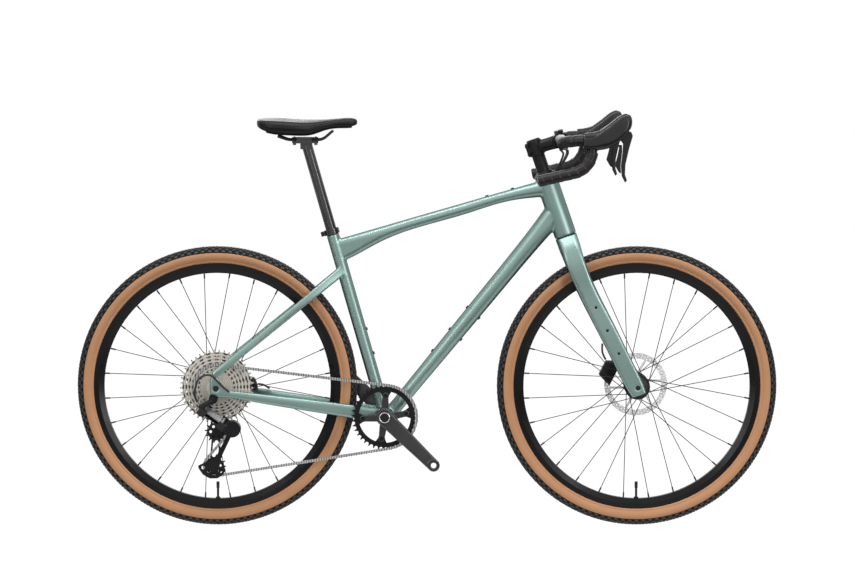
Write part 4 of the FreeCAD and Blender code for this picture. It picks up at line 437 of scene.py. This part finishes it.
tread_blocks = (
    dict(lean=5.5, stagger=0.0, wide=0.0042, long=0.0096, tall=0.0020),
    dict(lean=16.5, stagger=0.5, wide=0.0044, long=0.0092, tall=0.0020),
    dict(lean=28.5, stagger=0.0, wide=0.0048, long=0.0090, tall=0.0020),
    dict(lean=42.5, stagger=0.5, wide=0.0056, long=0.0096, tall=0.0020),
    dict(lean=58.5, stagger=0.0, wide=0.0066, long=0.0102, tall=0.0018),
)


def axle_of(wheel):
    """The middle of a wheel, from the box of its CAD tyre."""
    low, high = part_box(wheel + "_tyre")
    return (low + high) / 2.0


def tread_block(centre, side, lean, stagger, wide, long, tall):
    """One rubber block on the crown, its foot wider than its top."""
    bpy.ops.mesh.primitive_cube_add(size=1.0, location=(0.0, 0.0, 0.0))
    block = bpy.context.object
    block.scale = (long, wide, tall + block_root)
    bpy.ops.object.transform_apply(scale=True)
    bpy.ops.object.mode_set(mode="EDIT")
    bpy.ops.mesh.select_all(action="DESELECT")
    bpy.ops.object.mode_set(mode="OBJECT")
    for face in block.data.polygons:
        face.select = face.normal.z > 0.9
    bpy.ops.object.mode_set(mode="EDIT")
    bpy.ops.transform.resize(value=block_taper)
    bpy.ops.mesh.select_all(action="SELECT")
    bpy.ops.object.mode_set(mode="OBJECT")
    block.location = (0.0, 0.0, casing_half + (tall - block_root) / 2.0)
    bpy.ops.object.transform_apply(location=True)
    block.rotation_euler = (side * math.radians(lean), 0.0, 0.0)
    bpy.ops.object.transform_apply(rotation=True)
    block.location = (0.0, 0.0, casing_middle)
    bpy.ops.object.transform_apply(location=True)
    block.rotation_euler = (0.0, stagger * math.tau / tread_pitches, 0.0)
    bpy.ops.object.transform_apply(rotation=True)
    block.location = centre
    return block


def tread_ring(centre):
    """One pitch of blocks, repeated evenly around the axle."""
    blocks = [tread_block(centre, side, **block) for block in tread_blocks for side in (-1.0, 1.0)]
    picked(blocks)
    bpy.ops.object.join()
    ring = blocks[0]
    bpy.ops.object.empty_add(location=centre, rotation=(0.0, math.tau / tread_pitches, 0.0))
    turn = bpy.context.object
    applied(ring, "ARRAY", count=tread_pitches, fit_type="FIXED_COUNT", use_relative_offset=False,
            use_object_offset=True, offset_object=turn)
    bpy.data.objects.remove(turn)
    dress(ring, knob_highlight_rubber)
    return ring


def hoop(centre, radius, half, sides):
    """A round-section ring about the axle, its place still on the object."""
    bpy.ops.mesh.primitive_torus_add(major_segments=hoop_steps, minor_segments=sides, major_radius=radius,
                                     minor_radius=half, location=centre, rotation=across)
    bpy.ops.object.transform_apply(location=False, rotation=True, scale=False)
    bpy.ops.object.shade_smooth()
    return bpy.context.object


def tyre_casing(centre):
    """The carcass: tan on its walls and black over the cap."""
    casing = hoop(centre, casing_middle, casing_half, sides=40)
    casing.data.materials.append(tread_rubber)
    casing.data.materials.append(tan_wall)
    for face in casing.data.polygons:
        outward = math.hypot(face.center.x, face.center.z) - casing_middle
        face.material_index = 1 if math.atan2(abs(face.center.y), outward) > sidewall_edge else 0
    return casing


def bead_lip(centre, side):
    """The thick fold of the wall that laps over the edge of the rim."""
    lip = hoop(centre + Vector((0.0, side * lip_side, 0.0)), lip_radius, lip_half, sides=14)
    dress(lip, tan_wall)
    return lip


for wheel in ("front", "rear"):
    axle = axle_of(wheel)
    lips = [bead_lip(axle, side) for side in (-1.0, 1.0)]
    tyre = joined(wheel + "_tan_wall_tyre", [tyre_casing(axle), tread_ring(axle)] + lips)
    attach(tyre, wheel + "_wheel")
    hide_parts(wheel + "_tyre")

# The wheels: box-section alloy rims, blackened spokes and nipples, turned hubs on through axles,
# and stamped steel rotors whose faces carry the fine rings of their grinding.
marks_per_metre = 900.0
mark_gloss = 0.08


def ring_group():
    """Fine turning marks about an axle: the distance from it, and a tone that changes from ring to ring."""
    group, inside, outside, place = empty_group(
        "turning_rings", {"Centre": "NodeSocketVector", "Rings": "NodeSocketFloat"},
        {"Radius": "NodeSocketFloat", "Tone": "NodeSocketFloat"})
    about = group.nodes.new("ShaderNodeVectorMath")
    about.operation = "SUBTRACT"
    flat = group.nodes.new("ShaderNodeVectorMath")
    flat.operation = "MULTIPLY"
    flat.inputs[1].default_value = (1.0, 0.0, 1.0)
    radius = group.nodes.new("ShaderNodeVectorMath")
    radius.operation = "LENGTH"
    marks = group.nodes.new("ShaderNodeTexNoise")
    marks.noise_dimensions = "1D"
    marks.inputs["Detail"].default_value = 3.0
    link(group, place, "Object", about, 0)
    link(group, inside, "Centre", about, 1)
    link(group, about, 0, flat, 0)
    link(group, flat, 0, radius, 0)
    link(group, radius, "Value", marks, "W")
    link(group, inside, "Rings", marks, "Scale")
    link(group, radius, "Value", outside, "Radius")
    link(group, marks, 0, outside, "Tone")
    return group


turning_rings = ring_group()


def rings_about(tree, centre):
    """The turning marks, placed in a material about an axle."""
    rings = tree.nodes.new("ShaderNodeGroup")
    rings.node_tree = turning_rings
    rings.inputs["Centre"].default_value = centre
    rings.inputs["Rings"].default_value = marks_per_metre
    return rings


def turned_finish(name, centre, dark, light, rough, metal):
    """Metal with the marks of turning or grinding about its own axle."""
    material, tree, face = blank_finish(name)
    face.inputs["Metallic"].default_value = metal
    rings = rings_about(tree, centre)
    tones = two_toned(tree, dark, light)
    link(tree, rings, "Tone", tones, "Factor")
    link(tree, tones, "Result", face, "Base Color")
    gloss = tree.nodes.new("ShaderNodeMapRange")
    gloss.inputs["To Min"].default_value = rough - mark_gloss
    gloss.inputs["To Max"].default_value = rough + mark_gloss
    link(tree, rings, "Tone", gloss, "Value")
    link(tree, gloss, 0, face, "Roughness")
    return material


black_steel = finish_of("blackened_steel", dark=(0.004, 0.004, 0.004), light=(0.010, 0.010, 0.011), rough=0.4,
                        shine=0.3)
rim_finish = finish_of("rim_black", dark=(0.004, 0.004, 0.005), light=(0.010, 0.010, 0.011), rough=0.26,
                       shine=0.2)
turned_black = dict(dark=(0.010, 0.010, 0.011), light=(0.030, 0.030, 0.032), metal=0.3)
# The rotors' steel is near white with little metal: the white room's reflection painted into its colour,
# under the real grinding rings.
reflection_white_steel = dict(dark=(0.94, 0.94, 0.94), light=(1.0, 1.0, 1.0), metal=0.2)
for wheel in ("front", "rear"):
    axle = axle_of(wheel)
    dress(nodes[wheel + "_rim"], rim_finish)
    dress(nodes[wheel + "_spokes"], black_steel)
    dress(nodes[wheel + "_valve"], black_steel)
    dress(nodes[wheel + "_hub"], turned_finish(wheel + "_hub_black", axle, rough=0.34, **turned_black))
    dress(nodes[wheel + "_axle"], turned_finish(wheel + "_axle_black", axle, rough=0.36, **turned_black))
    dress(nodes[wheel + "_rotor"], turned_finish(wheel + "_rotor_steel", axle, rough=0.5, **reflection_white_steel))

# The cockpit: forged stem and spacers clamped on the steerer, a drawn alloy bar, and two control
# bodies under rubber hoods, each with a brake blade; the right one has a shift paddle too.
black_alloy = finish_of("black_anodised", dark=(0.006, 0.006, 0.007), light=(0.016, 0.016, 0.017), rough=0.32,
                        metal=0.1, speck=1500.0, cloud=30.0, shine=0.25)
for each in ("stem_faceplate", "handlebar", "headset_stack"):
    dress(nodes[each], black_alloy)
dress(nodes["headset_bearings"], black_steel)
forged_stem = softened("forged_stem", ["stem"], grain=0.0011, rounds=5)
dress(forged_stem, black_alloy)
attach(forged_stem, "steering")
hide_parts("stem")
hood_rubber = finish_of("hood_rubber", dark=(0.010, 0.009, 0.010), light=(0.024, 0.023, 0.024), rough=0.3,
                        speck=800.0, bump=0.12, shine=0.34)
hood_back_length = 0.012
hood_back_depth = 0.010
hood_drop = (0.0, 0.0, -0.008)
hood_blend = 0.05
rubber_hoods = softened("rubber_hoods", ["hoods"], grain=0.0013, rounds=6, ironed=12)
hood_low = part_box("hoods")[0]
bpy.ops.object.mode_set(mode="EDIT")
bpy.ops.mesh.select_mode(type="VERT")
bpy.ops.mesh.select_all(action="DESELECT")
bpy.ops.object.mode_set(mode="OBJECT")
hood_back = [point for point in rubber_hoods.data.vertices if point.co.x < hood_low.x + hood_back_length]
hood_top = max(point.co.z for point in hood_back)
for point in hood_back:
    point.select = point.co.z > hood_top - hood_back_depth
bpy.ops.object.mode_set(mode="EDIT")
bpy.ops.transform.translate(value=hood_drop, use_proportional_edit=True, proportional_size=hood_blend,
                            proportional_edit_falloff="SMOOTH", use_proportional_connected=True)
bpy.ops.object.mode_set(mode="OBJECT")
dress(rubber_hoods, hood_rubber)
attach(rubber_hoods, "steering")
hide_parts("hoods")
black_plastic = finish_of("moulded_black", dark=(0.012, 0.012, 0.013), light=(0.018, 0.018, 0.020), rough=0.4,
                          speck=1400.0, bump=0.1, shine=0.25)
dress(nodes["control_bodies"], black_plastic)
blade_black = finish_of("blade_black", dark=(0.008, 0.008, 0.009), light=(0.018, 0.018, 0.020), rough=0.28,
                        metal=0.1, speck=1200.0, shine=0.3)
for node_name, body, slot, finish in (("brake_lever_right", "brake_lever_right", "grey_alloy", blade_black),
                                      ("brake_lever_left", "brake_lever_left", "grey_alloy", blade_black),
                                      ("shift_paddle", "shift_lever", "black_plastic", black_plastic)):
    blade = softened(node_name + "_blade", [node_name], grain=0.0007, rounds=16)
    dress(blade, finish)
    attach(blade, body)
    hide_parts(node_name)

# The bar tape: a padded strip wound edge over edge from the plugs at the drop ends up to the hoods,
# and on along the ramps, where a turn of finishing tape holds it.
bar_centre = Vector((0.336266, 0.0, 0.977666))
bar_bends = ((0.0, 0.075, 0.0), (0.0, 0.185, 0.0), (0.075, 0.213, 0.009),
             (0.066, 0.219, -0.066), (-0.061, 0.230, -0.094))
tape_lap = 0.021
tape_step = 0.0011


def bar_line(side):
    """Points along the middle of one half of the bar, read from a smooth curve."""
    bpy.ops.curve.primitive_nurbs_path_add(location=(0.0, 0.0, 0.0))
    line = bpy.context.object
    spline = line.data.splines[0]
    spline.points.add(len(bar_bends) - len(spline.points))
    for point, (ahead, aside, up) in zip(spline.points, bar_bends):
        point.co = (*(bar_centre + Vector((ahead, side * aside, up))), 1.0)
    spline.order_u = 3
    spline.use_endpoint_u = True
    spline.resolution_u = 40
    thread = bpy.data.meshes.new_from_object(line)
    stops = [point.co.copy() for point in thread.vertices]
    bpy.data.meshes.remove(thread)
    bpy.data.objects.remove(line)
    return stops


def wound(piece, side):
    """Lets the tape's surface fall away over each turn of the wrap, up to the edge of the next turn."""
    stops = bar_line(side)
    tree = KDTree(len(stops))
    for place, stop in enumerate(stops):
        tree.insert(stop, place)
    tree.balance()
    ways = [(stops[min(place + 1, len(stops) - 1)] - stops[max(place - 1, 0)]).normalized()
            for place in range(len(stops))]
    runs = [0.0]
    ups = [Vector((0.0, 0.0, 1.0))]
    for place in range(1, len(stops)):
        runs.append(runs[-1] + (stops[place] - stops[place - 1]).length)
        ups.append((ups[-1] - ways[place] * ups[-1].dot(ways[place])).normalized())
    laps = piece.vertex_groups.get("lap") or piece.vertex_groups.new(name="lap")
    for point in piece.data.vertices:
        if point.co.y * side < 0.0:
            continue
        place = tree.find(point.co)[1]
        off = point.co - stops[place]
        turn = math.atan2(off.dot(ways[place].cross(ups[place])), off.dot(ups[place])) / math.tau
        run = runs[place] + off.dot(ways[place])
        laps.add([point.index], (run / tape_lap + side * turn) % 1.0, "REPLACE")


tape_finish = finish_of("bar_wrap", dark=(0.012, 0.010, 0.011), light=(0.026, 0.023, 0.024), rough=0.38,
                        speck=700.0, bump=0.2, shine=0.26)
wrapped_tape = softened("wrapped_tape", ["bar_tape"], grain=0.0014, rounds=6, hollow=("bar_tape",), bore=0.03)
for side in (-1.0, 1.0):
    wound(wrapped_tape, side)
applied(wrapped_tape, "DISPLACE", strength=-tape_step, mid_level=0.0, vertex_group="lap")
bpy.ops.object.shade_smooth()
dress(wrapped_tape, tape_finish)
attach(wrapped_tape, "steering")
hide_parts("bar_tape")

# The seat: a firm foam pad under a stretched cover on a moulded shell, with steel rails held by a
# two-bolt clamp on a drawn alloy post, and a split collar round the top of the seat tube.
pad_low, pad_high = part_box("saddle_cover")
channel_half = Vector((0.066, 0.0085, 0.0075))
channel_back = 0.01
well_clear = 0.05
downward = Vector((0.0, 0.0, -1.0))
saddle_pad = copied("saddle_pad", ["saddle_cover"])
pad_middle = (pad_low + pad_high) / 2.0
channel_above = Vector((pad_middle.x - channel_back, 0.0, pad_high.z + well_clear))
channel_spot = saddle_pad.ray_cast(channel_above, downward)[1]
bpy.ops.mesh.primitive_uv_sphere_add(segments=32, ring_count=16, radius=1.0, location=channel_spot,
                                     scale=channel_half)
channel = bpy.context.object
applied(saddle_pad, "BOOLEAN", operation="DIFFERENCE", object=channel, solver="EXACT")
bpy.data.objects.remove(channel)
applied(saddle_pad, "REMESH", mode="VOXEL", voxel_size=0.0022)
applied(saddle_pad, "SMOOTH", factor=rounding, iterations=12)
bpy.ops.object.shade_smooth()
saddle_finish = finish_of("saddle_cover", dark=(0.005, 0.005, 0.006), light=(0.013, 0.013, 0.014), rough=0.42,
                          speck=1000.0, bump=0.12, shine=0.22)
dress(saddle_pad, saddle_finish)
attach(saddle_pad, "seatpost")
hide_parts("saddle_cover")
dress(nodes["saddle_shell"], black_plastic)
dress(nodes["saddle_rails"], black_steel)
post_finish = finish_of("post_black", dark=(0.010, 0.010, 0.011), light=(0.022, 0.022, 0.023), rough=0.22,
                        metal=0.2, speck=1500.0, cloud=30.0, shine=0.8)
for each in ("seatpost", "saddle_clamp", "seat_collar"):
    dress(nodes[each], post_finish)

# The cranks: hollow forged arms on a steel spindle, polished and dyed dark grey, with a splined cap
# in the right one; the ring has milled teeth and four bolts.
grey_alloy = finish_of("grey_forged", dark=(0.050, 0.050, 0.052), light=(0.090, 0.090, 0.093), rough=0.26,
                       metal=0.6, speck=1200.0, cloud=22.0)
crank_arms = {}
for side in ("right", "left"):
    arm = softened("crank_" + side, ["crank_arm_" + side], grain=0.0010, rounds=6)
    dress(arm, grey_alloy)
    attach(arm, "crank")
    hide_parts("crank_arm_" + side)
    crank_arms[side] = arm
dress(nodes["chainring"], black_alloy)
dress(nodes["bottom_bracket_cups"], black_alloy)
arm_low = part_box("crank_arm_right")[0]
bracket_ahead = -0.106988
bracket_up = 0.281
spindle_outside = Vector((bracket_ahead, arm_low.y - well_clear, bracket_up))
inward = Vector((0.0, 1.0, 0.0))
cap_seat = crank_arms["right"].ray_cast(spindle_outside, inward)[1]
cap_silver = finish_of("cap_ring_silver", dark=(0.5, 0.5, 0.51), light=(0.62, 0.62, 0.63), rough=0.28,
                       metal=0.9, speck=1200.0)
bpy.ops.mesh.primitive_torus_add(major_segments=48, minor_segments=8, major_radius=0.0125,
                                 minor_radius=0.0011, location=cap_seat, rotation=across)
cap_pieces = [bpy.context.object]
dress(cap_pieces[0], cap_silver)
for sides, radius, thick, finish in ((48, 0.0112, 0.0012, black_plastic), (16, 0.0052, 0.0024, black_steel)):
    bpy.ops.mesh.primitive_cylinder_add(vertices=sides, radius=radius, depth=thick, location=cap_seat,
                                        rotation=across)
    cap_pieces.append(bpy.context.object)
    dress(cap_pieces[-1], finish)
crank_cap = joined("crank_cap", cap_pieces)
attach(crank_cap, "crank")

# The chain and the cogs: pressed and nickelled steel, bright on the teeth with painted shade towards
# the root of each cog, painted dark holes for the lightening holes in the larger ones, and painted shade in
# the gaps between the links.
chain_pitch = 0.0127
cog_teeth = (10, 12, 14, 16, 18, 21, 24, 28, 32, 36, 40, 45)
tooth_rise = 0.0027
cog_tips = [chain_pitch / 2.0 / math.sin(math.pi / teeth) + tooth_rise for teeth in cog_teeth]
tone_reach = 0.1
tone_step = 0.0004
cog_hub = (0.12, 0.11, 0.10, 1.0)
cog_bright = (1.0, 0.95, 0.86, 1.0)
cog_painted_shade = (0.52, 0.49, 0.44, 1.0)
# Painted holes: rows of dark spots on the cogs beyond holes_from, their darkness painted shade where
# lightening holes would be.
painted_hole_shade = (0.05, 0.046, 0.042)
holes_around = 24.0
hole_row = 0.00806
hole_shift = 0.42
hole_edge = (0.24, 0.32)
holes_from = 0.040
rear_axle = axle_of("rear")
nickel, cog_tree, cog_face = blank_finish("warm_nickel")
cog_face.inputs["Metallic"].default_value = 0.15
cog_face.inputs["Roughness"].default_value = 0.34
cog_rings = rings_about(cog_tree, rear_axle)
cog_share = reckoned(cog_tree, "MULTIPLY", second=1.0 / tone_reach)
cog_tone = cog_tree.nodes.new("ShaderNodeValToRGB")
cog_stops = cog_tone.color_ramp.elements
cog_stops[0].color = cog_hub
cog_stops[1].color = cog_bright
# Painted shade: each cog is darkened just outside the tips of the smaller cog in front of it, and brightens
# again towards its own teeth.
for tip in cog_tips[:-1]:
    cog_stops.new(tip / tone_reach).color = cog_bright
    cog_stops.new((tip + tone_step) / tone_reach).color = cog_painted_shade
cog_place = cog_tree.nodes.new("ShaderNodeTexCoord")
cog_about = cog_tree.nodes.new("ShaderNodeVectorMath")
cog_about.operation = "SUBTRACT"
cog_about.inputs[1].default_value = rear_axle
cog_parts = cog_tree.nodes.new("ShaderNodeSeparateXYZ")
cog_angle = reckoned(cog_tree, "ARCTAN2")
cog_count = reckoned(cog_tree, "MULTIPLY", second=holes_around / math.tau)
cog_rows = reckoned(cog_tree, "MULTIPLY_ADD", second=1.0 / hole_row, third=hole_shift)
cog_cell = cog_tree.nodes.new("ShaderNodeCombineXYZ")
cog_holes = cog_tree.nodes.new("ShaderNodeTexVoronoi")
cog_holes.inputs["Scale"].default_value = 1.0
cog_holes.inputs["Randomness"].default_value = 0.0
cog_edge = cog_tree.nodes.new("ShaderNodeMapRange")
cog_edge.inputs["From Min"].default_value = hole_edge[0]
cog_edge.inputs["From Max"].default_value = hole_edge[1]
cog_plain = reckoned(cog_tree, "LESS_THAN", second=holes_from)
cog_keep = reckoned(cog_tree, "MAXIMUM")
cog_mix = two_toned(cog_tree, dark=painted_hole_shade)
link(cog_tree, cog_rings, "Radius", cog_share, 0)
link(cog_tree, cog_share, 0, cog_tone, 0)
link(cog_tree, cog_place, "Object", cog_about, 0)
link(cog_tree, cog_about, 0, cog_parts, 0)
link(cog_tree, cog_parts, "X", cog_angle, 0)
link(cog_tree, cog_parts, "Z", cog_angle, 1)
link(cog_tree, cog_angle, 0, cog_count, 0)
link(cog_tree, cog_rings, "Radius", cog_rows, 0)
link(cog_tree, cog_count, 0, cog_cell, "X")
link(cog_tree, cog_rows, 0, cog_cell, "Y")
link(cog_tree, cog_cell, 0, cog_holes, "Vector")
link(cog_tree, cog_holes, "Distance", cog_edge, "Value")
link(cog_tree, cog_rings, "Radius", cog_plain, 0)
link(cog_tree, cog_edge, 0, cog_keep, 0)
link(cog_tree, cog_plain, 0, cog_keep, 1)
link(cog_tree, cog_keep, 0, cog_mix, "Factor")
link(cog_tree, cog_tone, "Color", cog_mix, "B")
link(cog_tree, cog_mix, "Result", cog_face, "Base Color")
dress(nodes["cassette"], nickel)
link_steel = finish_of("link_steel", dark=(0.60, 0.60, 0.60), light=(0.80, 0.80, 0.80), rough=0.32, metal=0.7,
                       speck=700.0)
# Painted shade: dark bands along the chain stand for the shade in the gaps between the links.
link_gap_shade = (0.22, 0.22, 0.22)
waves_per_scale = 10.0
link_tree = link_steel.node_tree
link_face = link_tree.nodes["Principled BSDF"]
link_tones = link_face.inputs["Base Color"].links[0].from_node
link_place = link_tree.nodes.new("ShaderNodeTexCoord")
link_waves = link_tree.nodes.new("ShaderNodeTexWave")
link_waves.bands_direction = "X"
link_waves.inputs["Scale"].default_value = math.tau / chain_pitch / waves_per_scale
link_waves.inputs["Distortion"].default_value = 0.0
painted_link_shade = two_toned(link_tree, dark=link_gap_shade)
link(link_tree, link_place, "Object", link_waves, "Vector")
link(link_tree, link_waves, "Fac", painted_link_shade, "Factor")
link(link_tree, link_tones, "Result", painted_link_shade, "B")
link(link_tree, painted_link_shade, "Result", link_face, "Base Color")
dress(nodes["chain"], link_steel)

# The derailleur: forged links pinned between two knuckles, the fixed one bolted to the hanger,
# with a pressed cage and two toothed plastic pulleys on the moving one.
silver_alloy = finish_of("silver_satin", dark=(0.17, 0.17, 0.175), light=(0.25, 0.25, 0.255), rough=0.34,
                         metal=0.9, speck=1200.0)
for node_name, body, slot, finish in (
        ("derailleur_outer_link", "derailleur_outer_link", "silver_alloy", silver_alloy),
        ("derailleur_inner_link", "derailleur_inner_link", "black_alloy", black_alloy),
        ("derailleur_moving_knuckle", "derailleur_moving_knuckle", "black_alloy", black_alloy),
        ("derailleur_knuckle", "frame", "black_alloy", black_alloy)):
    piece = softened(node_name + "_forged", [node_name], grain=0.0006, rounds=5)
    dress(piece, finish)
    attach(piece, body)
    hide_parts(node_name)
for each in ("derailleur_hanger", "derailleur_cage"):
    dress(nodes[each], black_alloy)
for each in ("guide_pulley", "tension_pulley"):
    dress(nodes[each], black_plastic)

# The brakes and cables: machined alloy calipers bolted to flat mounts on the fork and the chainstay,
# black hoses and a shift housing with a smooth jacket, and small black steel bolts.
for wheel, body in (("front", "steering"), ("rear", "frame")):
    caliper = softened(wheel + "_caliper_body", [wheel + "_caliper"], grain=0.0007, rounds=4)
    dress(caliper, black_alloy)
    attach(caliper, body)
    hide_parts(wheel + "_caliper")
hose_black = finish_of("hose_black", dark=(0.008, 0.008, 0.009), light=(0.018, 0.018, 0.019), rough=0.3)
for each in ("control_cables", "frame_cables"):
    dress(nodes[each], hose_black)
for each in ("frame_bolts", "stem_bolts"):
    dress(nodes[each], black_steel)
